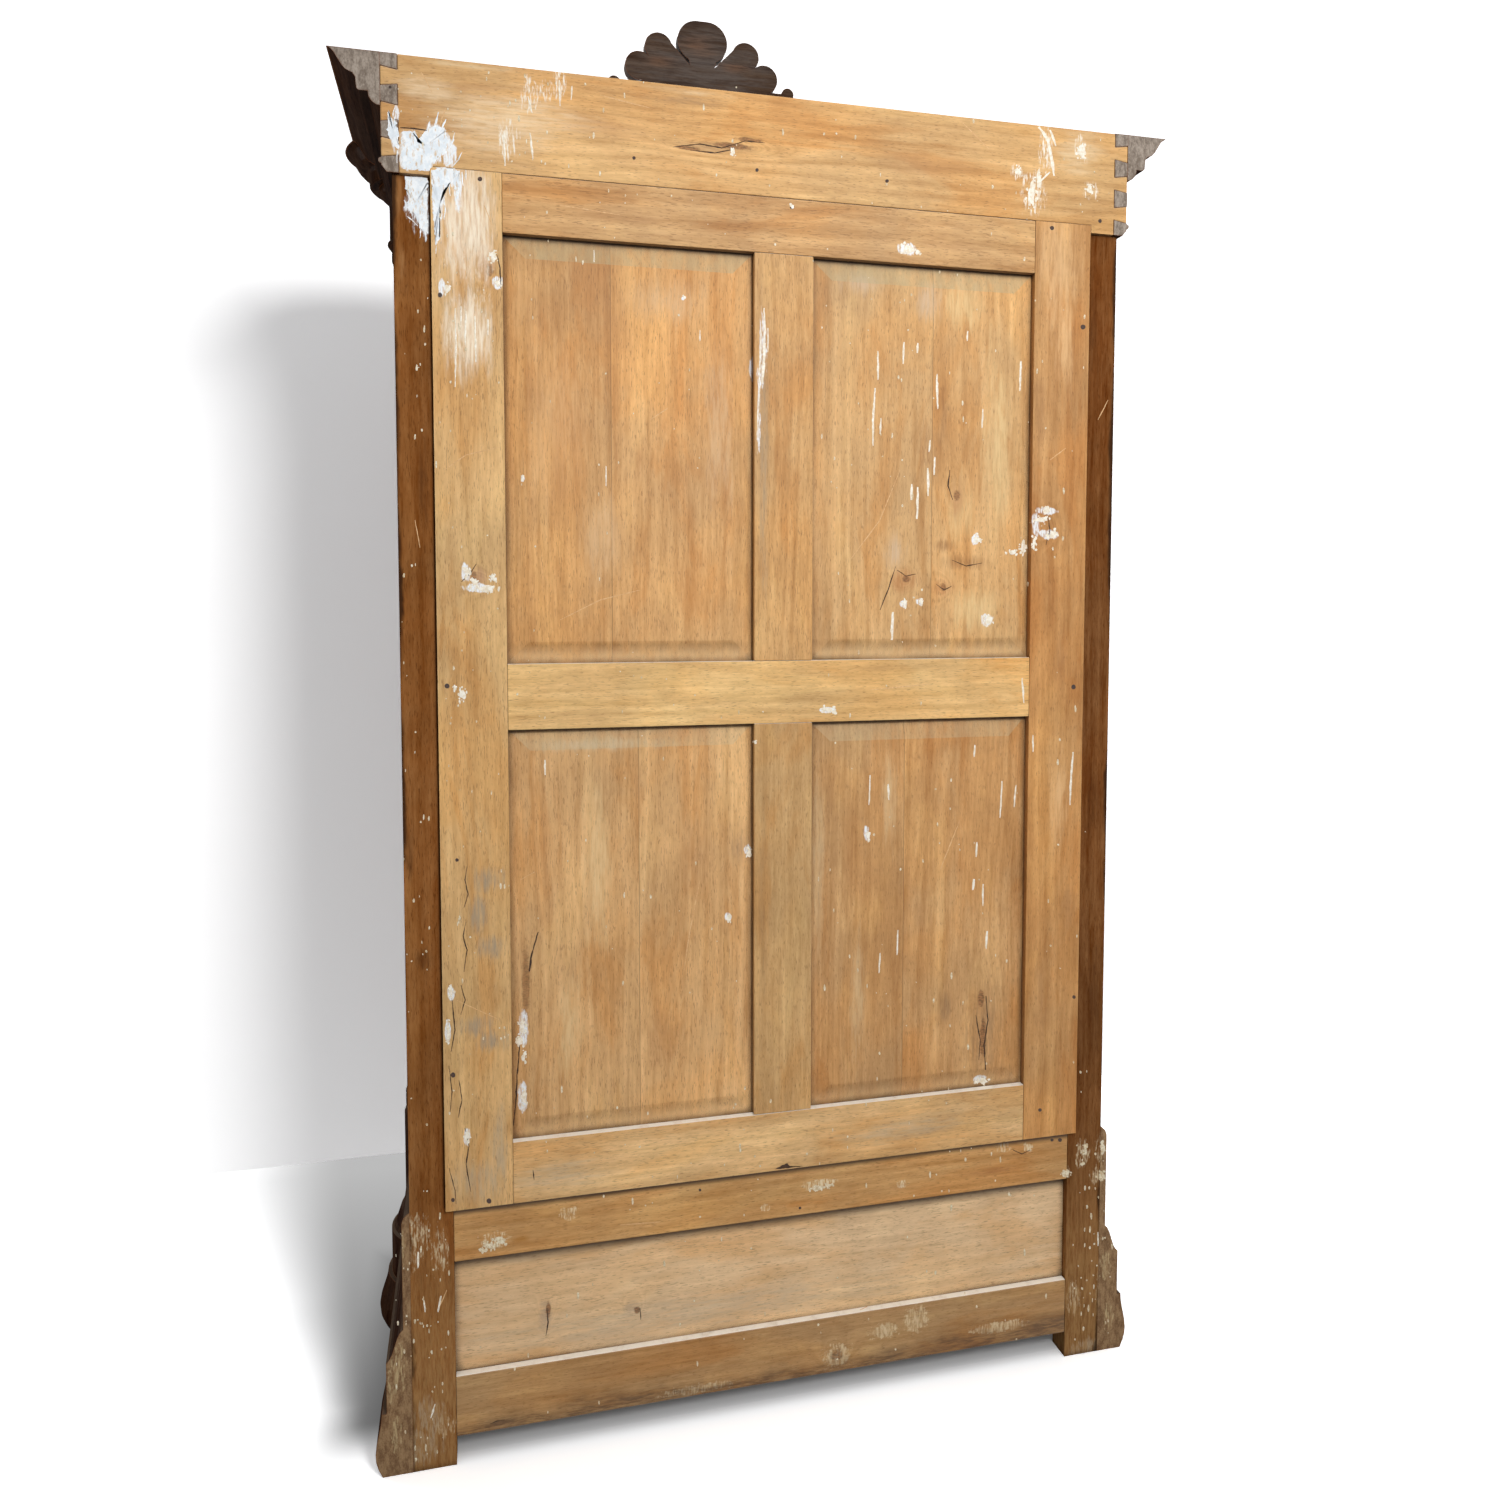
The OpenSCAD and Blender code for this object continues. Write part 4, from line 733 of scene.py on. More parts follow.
STAINED = dict(rough=0.44, coat=0.02, gloss=0.04, dust=0.3, dust_tone=(132, 116, 98),
               worn=linear(112, 66, 38), contrast=1.3, **tones(57, 35, 24, 24))
MATT = {"gloss": 0.0, "coat": 0.02}
RAW_SIDE = {"raw_inside": tones(178, 136, 90), **MATT}
CROWN_CUT = {"end_grain": (linear(122, 109, 97), linear(174, 161, 148)), **MATT}
BASE_CUT = {"end_grain": (linear(122, 92, 66), linear(168, 136, 100)), **MATT, "scuffs": [
    (399, 1250, 6, 40), (398, 1372, 10, 24), (391, 1390, 5, 22), (396, 1440, 6, 20),
    (1102, 1160, 3, 18), (1103, 1176, 4, 10), (1108, 1268, 6, 14), (1111, 1318, 5, 14)]}
COLUMN = {"band": 80.0, **MATT}
DOOR_PANEL = {"figure": 2.4}
CREST = {"figure": 1.8, **tones(76, 58, 48, 26), "layers": [
    smudge((112, 102, 96), 0.6, (758, -84, 120, 75)),
    smudge((128, 92, 68), 0.6, (752, -103, 34, 16), (708, -83, 28, 11), (802, -72, 24, 9),
        ragged=0.6)]}

# The stained pieces: the way of the grain, what is special and the nodes

DARK_WOODS = [
    ("z", MATT, "front_post_left front_post_right"),
    ("z", COLUMN, "column_left column_right"),
    ("z", MATT, "pedestal_left pedestal_right"),
    ("y", RAW_SIDE, "side_rails"),
    ("z", {"figure": 1.8, **RAW_SIDE}, "side_panels"),
    ("y", BASE_CUT, "base_side_left base_side_right"),
    ("x", {}, "front_top_rail front_cross_rail front_plinth"),
    ("y", CROWN_CUT, "cornice_sides"),
    ("x", {}, "cornice_front"),
    ("z", MATT, "cornice_corners"),
    ("y", CROWN_CUT, "crown_moulding"),
    ("x", CREST, "crest"),
    ("z", {}, "left_door_frame"),
    ("z", DOOR_PANEL, "left_door_panel"),
    ("z", {}, "left_door_moulding right_door_frame"),
    ("z", DOOR_PANEL, "right_door_panel"),
    ("z", {}, "right_door_moulding meeting_bead"),
    ("x", {"figure": 1.8}, "drawer_front"),
    ("y", {}, "drawer_knobs"),
]

BRASS = "post_hinges left_door_hinges right_door_hinges door_key key_escutcheon".split()
IRON = "door_lock lock_bolt".split()
FIRST_SEEDS = {"back": 1, "inner": 21, "dark": 31}


def panel_choices(side):
    """The glue joint, the bevels with their painted shade, and the painted shadow under the rail of one
    panel of the back.
    """
    level = side[:5]
    return {"joint": photo_point(PANEL_JOINTS[side], JOINT_HEIGHTS[level]).x,
            "bevels": (PANEL_FEET[level], BEVEL_SHOWN[level]),
            "shades": [("Z", PANEL_HEADS[level], -0.009, 0.9, 0.0)]}


def all_woods():
    """Each wooden node with its material's choices."""
    for seed, (name, choices) in enumerate(BACK_WOODS.items(), FIRST_SEEDS["back"]):
        side = name.removeprefix("back_panel_")
        panel = panel_choices(side) if side in PANEL_JOINTS else {}
        # On the back the grime also paints shade, and the full near-white dust also paints the light on
        # the ledges
        yield name, {**choices, **panel, "seed": seed, "grime_and_shade": 0.8, "dust": 1.0}
    for seed, (name, choices) in enumerate(INNER_WOODS.items(), FIRST_SEEDS["inner"]):
        yield name, {**choices, "seed": seed}
    seeds = itertools.count(FIRST_SEEDS["dark"])
    for grain, choices, names in DARK_WOODS:
        for name in names.split():
            yield name, {**STAINED, **choices, "grain": grain, "seed": next(seeds)}


def dress_all():
    materials = {name: wood(name + "_wood", **choices) for name, choices in all_woods()}
    brass = metal("old_brass", (124, 100, 60), (72, 57, 38), 0.34, 0.95)
    iron = metal("old_iron", (86, 82, 80), (46, 40, 38), 0.5, 0.75)
    materials.update({**dict.fromkeys(BRASS, brass), **dict.fromkeys(IRON, iron)})
    undressed = set(nodes) - set(materials)
    if undressed:
        raise ValueError(f"no material for {sorted(undressed)}")
    for name, material in materials.items():
        data = nodes[name].data
        data.materials.clear()
        data.materials.append(material)


dress_all()

# Edges that a plane, a rub or a hundred years have eased

EASED = set(BACK_WOODS) | {
    "floor_boards", "ceiling_boards", "hat_shelf", "shelf_battens", "peg_rail", "side_panels",
    "left_door_frame", "right_door_frame", "left_door_panel", "right_door_panel", "front_top_rail",
    "front_cross_rail", "drawer_front", "drawer_box", "drawer_bottom", "drawer_runners"}
EASE = 0.0011
BACK_EASE = 0.002
WELD_WITHIN = 0.00002
SHARP_ANGLE = math.radians(40)


def ease_edges():
    for name in EASED:
        node = nodes[name]
        data = node.data
        if data.attributes.get("custom_normal"):
            data.attributes.remove(data.attributes["custom_normal"])
        data.polygons.foreach_set("use_smooth", [False] * len(data.polygons))
        weld = node.modifiers.new("weld", "WELD")
        weld.merge_threshold = WELD_WITHIN
        bevel = node.modifiers.new("ease", "BEVEL")
        bevel.width = BACK_EASE if name in BACK_WOODS else EASE
        bevel.segments = 2
        bevel.limit_method = "ANGLE"
        bevel.angle_limit = SHARP_ANGLE
        bevel.use_clamp_overlap = True


ease_edges()

# Marks of age with a body of their own: paint, nails, cracks and scratches

RAY_REACH = 6.0
LIES_WITHIN = 0.0012
SUNK = 0.0003
THIN = 0.0003
TORN_STEP = 1.6
RUN_STEP = 3.0


class Skin:
    """The case as the camera sees it, to set marks on."""

    def __init__(self):
        points, faces = [], []
        for node in nodes.values():
            start = len(points)
            points.extend(node.matrix_world @ v.co for v in node.data.vertices)
            faces.extend([start + i for i in f.vertices] for f in node.data.polygons)
        self.tree = BVHTree.FromPolygons(points, faces)

    def touch(self, px, py):
        """The point of the case seen at a pixel and the way its surface faces, or None."""
        hit, normal, _, _ = self.tree.ray_cast(EYE, photo_ray(px, py), RAY_REACH)
        if hit is None:
            return None
        return hit, normal if normal.dot(EYE - hit) > 0 else -normal

    def settle(self, px, py, plane_point, normal):
        """The point of a plane seen at a pixel, if the case really lies there."""
        ray = photo_ray(px, py)
        spot = EYE + ray * ((plane_point - EYE).dot(normal) / ray.dot(normal))
        seen = self.touch(px, py)
        if seen is None or (seen[0] - spot).length > LIES_WITHIN:
            return None
        return spot


SKIN = Skin()


def dense_path(path, step, least):
    """Points along a path of pixels, a step apart and at least so many to a stretch."""
    points = []
    for (ax, ay), (bx, by) in zip(path, path[1:]):
        count = max(least, int(math.hypot(bx - ax, by - ay) / step))
        for i in range(count):
            points.append((ax + (bx - ax) * i / count, ay + (by - ay) * i / count))
    return points


class Marks:
    """Many thin closed marks, gathered into one mesh that rides on the case."""

    def __init__(self, name, material, seed):
        self.name = name
        self.material = material
        self.random = random.Random(seed)
        self.points = []
        self.faces = []

    def film(self, outline, middle, normal, thick, crown=0.0):
        """A closed film over an outline of points, with its middle raised by the crown."""
        base = len(self.points)
        count = len(outline)
        for height, shrink in ((-SUNK, 1.0), (thick, 0.93)):
            for spot in outline:
                self.points.append(middle + (spot - middle) * shrink + normal * height)
        self.points.append(middle - normal * SUNK)
        self.points.append(middle + normal * (thick + crown))
        for i in range(count):
            j = (i + 1) % count
            self.faces.append((base + i, base + j, base + count + j, base + count + i))
            self.faces.append((base + 2 * count, base + j, base + i))
            self.faces.append((base + 2 * count + 1, base + count + i, base + count + j))

    def lumpy(self, half_w, half_h, lumps, count):
        """The way from a blob's middle to each point of its lumpy edge, in pixels."""
        phases = [self.random.uniform(0, math.tau) for _ in range(3)]
        for i in range(count):
            angle = math.tau * i / count
            waves = sum(math.sin(k * angle + p) / k for k, p in zip((2, 3, 5), phases))
            swell = 1 + lumps * waves / 1.4
            yield half_w * swell * math.cos(angle), half_h * swell * math.sin(angle)

    def blob(self, px, py, half_w, half_h, thick=0.0004, lumps=0.22, count=14):
        seen = SKIN.touch(px, py)
        if seen is None:
            return
        middle, normal = seen
        outline = []
        for wx, wy in self.lumpy(half_w, half_h, lumps, count):
            spot = None
            for share in (1.0, 0.75, 0.5, 0.3, 0.1):
                spot = SKIN.settle(px + wx * share, py + wy * share, middle, normal)
                if spot is not None:
                    break
            outline.append(spot if spot is not None else middle.copy())
        if (outline[0] - outline[count // 2]).length > 0.0004:
            self.film(outline, middle, normal, thick, thick * 0.6)

    def dab(self, px, py, half_w, half_h):
        """A dry dab of paint: an off-centre body and crumbs of it round about."""
        pick = self.random
        self.blob(px + pick.uniform(-0.2, 0.2) * half_w, py + pick.uniform(-0.2, 0.2) * half_h,
                  half_w * 0.62, half_h * 0.66, lumps=0.55)
        crumbs = 3 + int(half_w * half_h / 3.5)
        for _ in range(min(crumbs, 16)):
            angle = pick.uniform(0, math.tau)
            reach = pick.uniform(0.35, 1.1)
            size = pick.uniform(0.6, 1.5)
            self.blob(px + half_w * reach * math.cos(angle), py + half_h * reach * math.sin(angle),
                      size, size * pick.uniform(0.8, 1.8), THIN, 0.5, 9)

    def patch(self, corners, ragged, thick=THIN):
        """A film with torn edges over a shape in pixels, all of which its middle can see."""
        seen = SKIN.touch(*(sum(axis) / len(corners) for axis in zip(*corners)))
        if seen is None:
            return
        middle, normal = seen
        outline = []
        for px, py in dense_path(corners + corners[:1], TORN_STEP, 1):
            px += self.random.gauss(0, ragged * 0.5)
            py += self.random.gauss(0, ragged * 0.5)
            spot = SKIN.settle(px, py, middle, normal)
            if spot is not None:
                outline.append(spot)
        if len(outline) > 5:
            self.film(outline, middle, normal, thick)

    def streak(self, path, half_w, thick=0.0004, taper=0.35, wander=0.25, step=RUN_STEP):
        """A thin ridge along a path of pixels, widest low down, as a run of paint is."""
        seen = SKIN.touch(*path[0])
        if seen is None:
            return
        first, normal = seen
        dense = dense_path(path, step, 2) + [path[-1]]
        rows = []
        total = len(dense) - 1
        for i, (px, py) in enumerate(dense):
            ahead = dense[min(i + 1, total)]
            behind = dense[max(i - 1, 0)]
            dx, dy = ahead[0] - behind[0], ahead[1] - behind[1]
            size = math.hypot(dx, dy) or 1.0
            rise = math.sin(math.pi * min(i / total * 0.8 + 0.12, 1.0))
            wide = half_w * (taper + (1 - taper) * rise)
            wide *= 1 + self.random.uniform(-wander, wander)
            px += self.random.uniform(-wander, wander) * half_w
            left = SKIN.settle(px - dy / size * wide, py + dx / size * wide, first, normal)
            right = SKIN.settle(px + dy / size * wide, py - dx / size * wide, first, normal)
            if left is None or right is None:
                break
            middle = (left + right) / 2
            rows.append((left, middle + normal * thick, right, middle - normal * SUNK))
        self.skin_rows(rows)

    def skin_rows(self, rows):
        """A closed skin over rows of four points."""
        if len(rows) < 3:
            return
        base = len(self.points)
        for row in rows:
            self.points.extend(row)
        for i in range(len(rows) - 1):
            for k in range(4):
                a = base + 4 * i + k
                b = base + 4 * i + (k + 1) % 4
                self.faces.append((a, b, b + 4, a + 4))
        last = base + 4 * (len(rows) - 1)
        self.faces.append((base + 3, base + 2, base + 1, base))
        self.faces.append((last, last + 1, last + 2, last + 3))

    def finish(self):
        made = mesh_object(self.name, self.points, self.faces, self.material)
        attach(made, "case")


def mesh_object(name, points, faces, material):
    data = bpy.data.meshes.new(name)
    data.from_pydata(points, [], faces)
    data.materials.append(material)
    made = bpy.data.objects.new(name, data)
    bpy.context.scene.collection.objects.link(made)
    return made


# Runs of paint, each as its half width and then its path

RUNS = [
    (1.1, (455, 308), (456, 345), (455, 387)), (1.2, (466, 311), (465, 345)),
    (1.1, (475, 316), (476, 362)), (1.0, (488, 319), (488, 335)), (1.0, (461, 306), (461, 326)),
    (1.3, (878, 351), (878, 380)), (1.2, (875, 388), (873, 420), (873, 446)),
    (1.2, (881, 418), (880, 434)), (1.1, (904, 342), (903, 364)), (1.4, (918, 343), (917, 353)),
    (1.3, (937, 374), (937, 390), (938, 409)), (1.2, (935, 457), (934, 475)),
    (1.0, (930, 440), (929, 452)), (1.4, (928, 468), (928, 496)), (1.3, (912, 484), (911, 500)),
    (1.5, (918, 487), (917, 519)), (1.3, (1021, 361), (1020, 391)), (1.0, (983, 409), (982, 428)),
    (1.8, (893, 612), (892, 628), (892, 643)), (1.1, (968, 331), (967, 341)),
    (1.0, (870, 775), (869, 805)), (1.3, (888, 784), (889, 800)), (1.2, (975, 745), (974, 757)),
    (1.0, (1002, 781), (1000, 818)), (1.0, (1016, 785), (1014, 807)), (1.2, (977, 842), (976, 857)),
    (1.6, (974, 879), (973, 890)), (1.0, (898, 930), (897, 955)), (1.4, (987, 931), (986, 949)),
    (1.0, (880, 953), (879, 973)), (1.3, (1073, 752), (1071, 780), (1070, 805)),
    (1.2, (1022, 678), (1024, 703)), (0.9, (1033, 735), (1033, 752)), (1.0, (983, 884), (983, 906)),
    (1.2, (504, 133), (505, 166)), (1.2, (530, 133), (533, 159)), (1.1, (528, 96), (532, 113)),
    (1.0, (559, 80), (560, 106)), (1.0, (572, 86), (571, 100)), (1.3, (418, 1252), (418, 1268)),
    (2.0, (1039, 127), (1048, 140), (1052, 160), (1054, 176)), (1.4, (1050, 130), (1056, 146)),
    (1.2, (1050, 172), (1040, 182)), (1.2, (545, 760), (545, 775)), (0.9, (606, 466), (606, 486)),
    (0.9, (594, 250), (594, 262)), (0.9, (700, 330), (700, 341)), (1.2, (441, 1296), (438, 1312)),
    (1.1, (764, 308), (765, 330), (763, 352)), (0.9, (761, 330), (760, 360), (759, 385)),
    (1.6, (765, 343), (764, 365), (762, 384)), (0.8, (760, 385), (758, 410), (757, 440)),
    (0.8, (768, 328), (768, 352)), (1.1, (424, 1300), (425, 1312)), (1.0, (1098, 1232), (1098, 1246)),
    (1.1, (435, 1404), (431, 1418)),
]

RUN_WIDTH = 0.8

# Dry brush strokes round the white patch at the corner

BRUSHED = [
    (0.8, (434, 128), (437, 120), (438, 112)), (0.7, (441, 130), (446, 119)),
    (0.7, (427, 131), (430, 121)), (0.7, (449, 150), (453, 140), (455, 132)),
    (0.8, (450, 156), (456, 150)), (0.7, (418, 139), (414, 131)), (0.7, (393, 118), (394, 108)),
    (0.6, (389, 124), (388, 112)), (0.7, (397, 150), (397, 163)),
    (0.7, (412, 214), (408, 206), (404, 200)), (0.7, (418, 226), (412, 220), (407, 216)),
    (0.8, (426, 232), (426, 242)), (0.7, (421, 228), (420, 238)), (0.7, (436, 246), (436, 254)),
    (0.8, (444, 196), (445, 210), (444, 220)), (0.7, (449, 184), (450, 196)),
    (0.7, (457, 194), (456, 206)), (0.6, (462, 172), (463, 186)), (0.6, (466, 170), (466, 180)),
    (0.6, (409, 180), (408, 192)), (0.7, (453, 166), (458, 160), (462, 152)),
    (0.6, (446, 166), (452, 162)),
]

# Blots of paint and filler, as x, y, half width and half height. Low down they are cream

CREAM_BELOW = 1140

BLOTS = [
    (907, 249, 9, 5.5), (917, 252, 4, 3), (792, 206, 3, 2), (498, 283, 4, 4.5), (493, 257, 5, 7),
    (447, 288, 3, 7), (484, 588, 14, 4), (466, 573, 4, 8), (475, 582, 5, 5), (492, 578, 4, 5),
    (977, 539, 5, 5), (905, 603, 3.5, 4), (921, 602, 3, 3.5), (989, 620, 5, 6), (1046, 512, 4, 6),
    (1042, 520, 9, 4), (1052, 534, 6, 5), (1034, 544, 2.5, 9), (1023, 548, 4, 9), (1012, 552, 6, 3),
    (826, 709, 9, 3), (833, 712, 5, 2), (462, 694, 5, 8), (455, 688, 3, 4), (451, 992, 3, 7),
    (448, 1032, 2.5, 13), (467, 1137, 3.5, 8), (522, 1026, 4.5, 9), (520, 1043, 4, 9), (524, 1056, 3, 7),
    (524, 1098, 3.5, 12), (749, 852, 3, 6), (729, 918, 3, 5), (983, 1081, 6, 3.5), (868, 835, 2.5, 6),
    (980, 1082, 10, 1.5), (1031, 196, 6, 16), (1038, 182, 5, 12), (1081, 151, 5, 9), (1090, 189, 4, 6),
    (1017, 172, 3.5, 6), (733, 152, 4, 4), (1082, 153, 4, 8), (523, 478, 1.6, 3), (684, 297, 1.6, 2),
    (755, 742, 2, 2), (820, 1187, 11, 2.2), (816, 1190, 6, 2), (828, 1185, 5, 2), (1085, 1150, 2.2, 7),
    (1083, 1163, 2.6, 3), (1103, 1150, 2, 9), (1066, 1174, 5, 5), (1101, 1177, 5, 6), (490, 1246, 9, 4),
    (499, 1241, 9, 5), (484, 1250, 5, 3),
]

# The thick white patch at the top corner, one outline for each board that carries it

CORNER_PATCHES = [
    [(401, 131), (411, 130), (417, 141), (424, 132), (434, 125), (446, 128), (449, 142), (448, 152),
     (440, 157), (433, 166), (428, 172), (402, 170), (400, 150)],
    [(388, 108), (391, 118), (396, 120), (399, 133), (399, 150), (394, 146), (390, 138), (387, 130)],
    [(405, 175), (428, 176), (428, 205), (428, 234), (420, 229), (415, 214), (406, 208), (409, 198),
     (405, 188)],
    [(431, 169), (446, 167), (451, 180), (443, 190), (441, 208), (440, 222), (440, 238), (436, 247),
     (434, 228), (432, 200)],
    [(453, 168), (460, 170), (460, 180), (458, 196), (455, 190), (453, 180)],
]

# Nail heads, as x, y and half width

NAILS = [
    (480, 179, 2.4), (440, 295, 2.4), (792, 207, 2.2), (1052, 228, 2.2), (1083, 327, 2.6),
    (1073.5, 687, 2.4), (447, 686, 2.6), (453, 1075, 2.6), (489, 1201, 2.6), (634, 158, 1.8),
    (757, 170, 1.8), (887, 181, 1.8), (1100, 221, 2.0), (453, 1200, 2.0), (1060, 1140, 2.0),
    (457, 860, 1.8), (1040, 1110, 1.8), (390, 87, 1.6), (1052, 1140, 1.6), (800, 1208, 1.4),
    (700, 1190, 1.4), (1074, 997, 1.8),
]

# Cracks, each as its half width and then its path

CRACKS = [
    (0.9, (538, 932), (531, 958), (527, 985), (523, 1012), (520, 1040)),
    (0.8, (520, 1040), (517, 1075), (516, 1100), (513, 1130)),
    (0.5, (467, 866), (465, 880), (468, 894), (464, 908)),
    (0.5, (466, 922), (463, 936), (467, 950), (464, 972)), (0.5, (461, 985), (465, 1000), (461, 1015)),
    (0.6, (452, 1000), (455, 1030), (451, 1052)), (0.5, (459, 1080), (462, 1100), (458, 1118)),
    (0.6, (465, 1128), (469, 1146), (466, 1164), (471, 1192)),
    (0.5, (449, 1066), (452, 1092), (450, 1112)),
    (0.8, (400, 127.5), (414, 128.5), (428, 130.5), (441, 133)),
    (0.6, (673, 147), (700, 144), (722, 148), (745, 141), (765, 143)),
    (0.6, (690, 150), (715, 153), (735, 149)), (0.7, (986, 996), (988, 1020), (984, 1045), (986, 1074)),
    (0.6, (976, 1015), (980, 1040), (979, 1060)), (0.6, (497, 254), (500, 268), (501, 288)),
    (0.6, (1048, 518), (1050, 530), (1046, 545)), (0.6, (547, 1308), (548, 1322), (546, 1336)),
    (0.5, (640, 1308), (641, 1320)), (0.5, (490, 1424), (497, 1421), (505, 1420)),
    (0.6, (476, 564), (470, 574), (461, 582)), (0.5, (449, 1168), (455, 1190), (456, 1204)),
    (0.5, (533, 1170), (534, 1180)), (0.7, (950, 470), (948, 486), (953, 500)),
    (0.6, (952, 560), (966, 566), (982, 563)), (0.5, (897, 570), (906, 576), (916, 574)),
    (0.5, (936, 584), (944, 590), (952, 586)), (0.5, (880, 610), (888, 590), (896, 566)),
    (0.5, (1013, 1150), (1022, 1154), (1030, 1150)),
]

# A bite out of the frame's lower edge, dark inside, drawn as a dark film of painted shade

EDGE_NOTCH_SHADE = [(774, 1169.5), (781, 1165.5), (787, 1163), (790, 1166), (797, 1166.5), (804, 1166),
    (790, 1168)]

# Scratches down to paler wood, in the form of the cracks

SCRATCHES = [
    (0.5, (421, 72), (428, 84), (432, 92)), (0.6, (446, 108), (442, 118), (440, 126)),
    (0.5, (1000, 557), (1014, 549), (1027, 541)), (0.5, (444, 470), (466, 455), (500, 447)),
    (0.5, (1050, 460), (1066, 448)), (0.5, (650, 420), (668, 408)),
    (0.5, (560, 620), (600, 600), (640, 590)), (0.5, (700, 880), (690, 930), (684, 970)),
    (0.5, (870, 690), (930, 684)), (0.5, (560, 205), (620, 215)), (0.4, (456, 1000), (500, 1020)),
    (0.5, (600, 95), (650, 108)), (0.5, (960, 120), (990, 150)), (0.5, (520, 880), (560, 858)),
    (0.4, (850, 560), (880, 520), (900, 470)), (0.5, (415, 520), (420, 548)),
    (0.5, (940, 870), (960, 820)), (0.5, (438, 1310), (447, 1290)), (0.5, (1098, 420), (1108, 400)),
    (0.4, (484, 205), (492, 225)), (0.4, (860, 1310), (900, 1290)), (0.5, (620, 1225), (660, 1222)),
]

# Where flecks of paint lie: x from, x to, y from, y to, how many

FLECK_SHARE = 1.6
FLECK_FIELDS = [
    (395, 560, 70, 170, 26), (560, 1110, 80, 215, 34), (436, 500, 180, 700, 22), (505, 755, 240, 655, 16),
    (815, 1030, 270, 655, 34), (1035, 1088, 240, 1130, 20), (510, 750, 735, 1120, 16),
    (815, 1022, 725, 1095, 30), (445, 510, 700, 1200, 22), (515, 1030, 1100, 1200, 30),
    (402, 430, 240, 1200, 26), (395, 450, 1215, 1460, 40), (1072, 1112, 1140, 1340, 34),
    (460, 1060, 1190, 1420, 34), (505, 1030, 185, 270, 12), (510, 1030, 660, 720, 12),
]


def add_marks():
    white = coat("old_paint", (246, 250, 252), (228, 236, 242), 0.55, 120.0, (212, 180, 138))
    warm = coat("run_paint", (250, 244, 230), (232, 218, 192), 0.55, 160.0)
    paint_marks = Marks("paint_marks", white, 7)
    for outline in CORNER_PATCHES:
        paint_marks.patch(outline, 1.0)
    for half_w, *path in BRUSHED:
        paint_marks.streak(path, half_w, THIN, 0.2, 0.5)
    paint_marks.finish()
    runs = Marks("paint_runs", warm, 8)
    for half_w, *path in RUNS:
        runs.streak(path, half_w * RUN_WIDTH)
    cream = coat("flecked_paint", (236, 226, 200), (204, 180, 140), 0.6)
    flecks = Marks("paint_flecks", cream, 11)
    for blot in BLOTS:
        (flecks if blot[1] > CREAM_BELOW else runs).dab(*blot)
    runs.finish()
    pick = flecks.random
    for x0, x1, y0, y1, count in FLECK_FIELDS:
        for _ in range(int(count * FLECK_SHARE)):
            wide = pick.choice((0.5, 0.6, 0.7, 0.9, 1.1))
            tall = wide * pick.choice((1.0, 1.4, 2.2, 3.4))
            flecks.blob(pick.uniform(x0, x1), pick.uniform(y0, y1), wide, tall, THIN, 0.3, 8)
    flecks.finish()
    nails = Marks("nail_heads", coat("nail_iron", (40, 30, 26), (72, 48, 36), 0.7), 13)
    for px, py, size in NAILS:
        nails.blob(px, py, size, size * 1.05, 0.0002, 0.12, 12)
    nails.finish()
    cracks_and_notch_shade = Marks("cracks_and_notch_shade", coat("open_grain_and_notch_shade", (46, 30, 20), (70, 48, 32), 0.9), 17)
    for half_w, *path in CRACKS:
        cracks_and_notch_shade.streak(path, half_w, 0.0001, 0.2, 0.4, 4.0)
    # The bite's dark film is painted shade
    cracks_and_notch_shade.patch(EDGE_NOTCH_SHADE, 0.4, 0.0001)
    cracks_and_notch_shade.finish()
    bared = coat("scratched_wood", (226, 186, 136), (208, 160, 108), 0.75)
    scratches = Marks("scratches", bared, 19)
    for half_w, *path in SCRATCHES:
        scratches.streak(path, half_w, 0.00012, 0.15, 0.3, 4.0)
    scratches.finish()


add_marks()

# Floor, backdrop and lamps

FLOOR_HALF = 12.0
WALL_BEHIND = 0.55
WALL_HEIGHT = 3.6
WALL_ENDS = (-3.4, 3.0)
FLOOR_BOUNCE = 0.35
WALL_SHINE = 1.95
FLOOR_SHINE = 1.5
WALL_GLOW = 0.10
FLOOR_GLOW = 0.16
FOOT_FRONT = -0.25
FOOT_BACK = BACK_Y - 0.05
FOOT_SHADE = (0.0, 0.05, 0.40, 1.0)
GLOW_REACH = (1.0, 3.0)
SHADOW_FROM_TO = (0.10, -0.76)
SOFT_HEIGHTS = (-0.4, 1.0)
SOFT_LOW = 0.12
SOFT_HIGH = 0.48


def cast_shadow(t, x, y):
    """A painted shadow beside the case: where the photograph's shadow lies, and how bright the floor is
    in it.
    """
    edge = t.span(y, *SHADOW_FROM_TO, 0.77, 1.04, smooth=False)
    soft = t.span(y, *SHADOW_FROM_TO, 0.05, 0.19, smooth=False)
    past = t.math("DIVIDE", t.minus(x, edge), soft)
    inside = t.times(t.span(past, 1.3, -1.0), t.span(x, CASE_HALF - 0.12, CASE_HALF))
    inside = t.times(inside, t.times(t.span(y, 0.25, 0.14), t.span(y, -1.30, -0.84)))
    level = t.span(y, 0.12, -0.76, 0.22, 0.50, smooth=False)
    near = t.span(t.minus(x, CASE_HALF + 0.04), 0.0, 0.10, 0.55, 1.0)
    near = t.most(near, t.span(y, -0.20, -0.42))
    return inside, t.times(level, near)


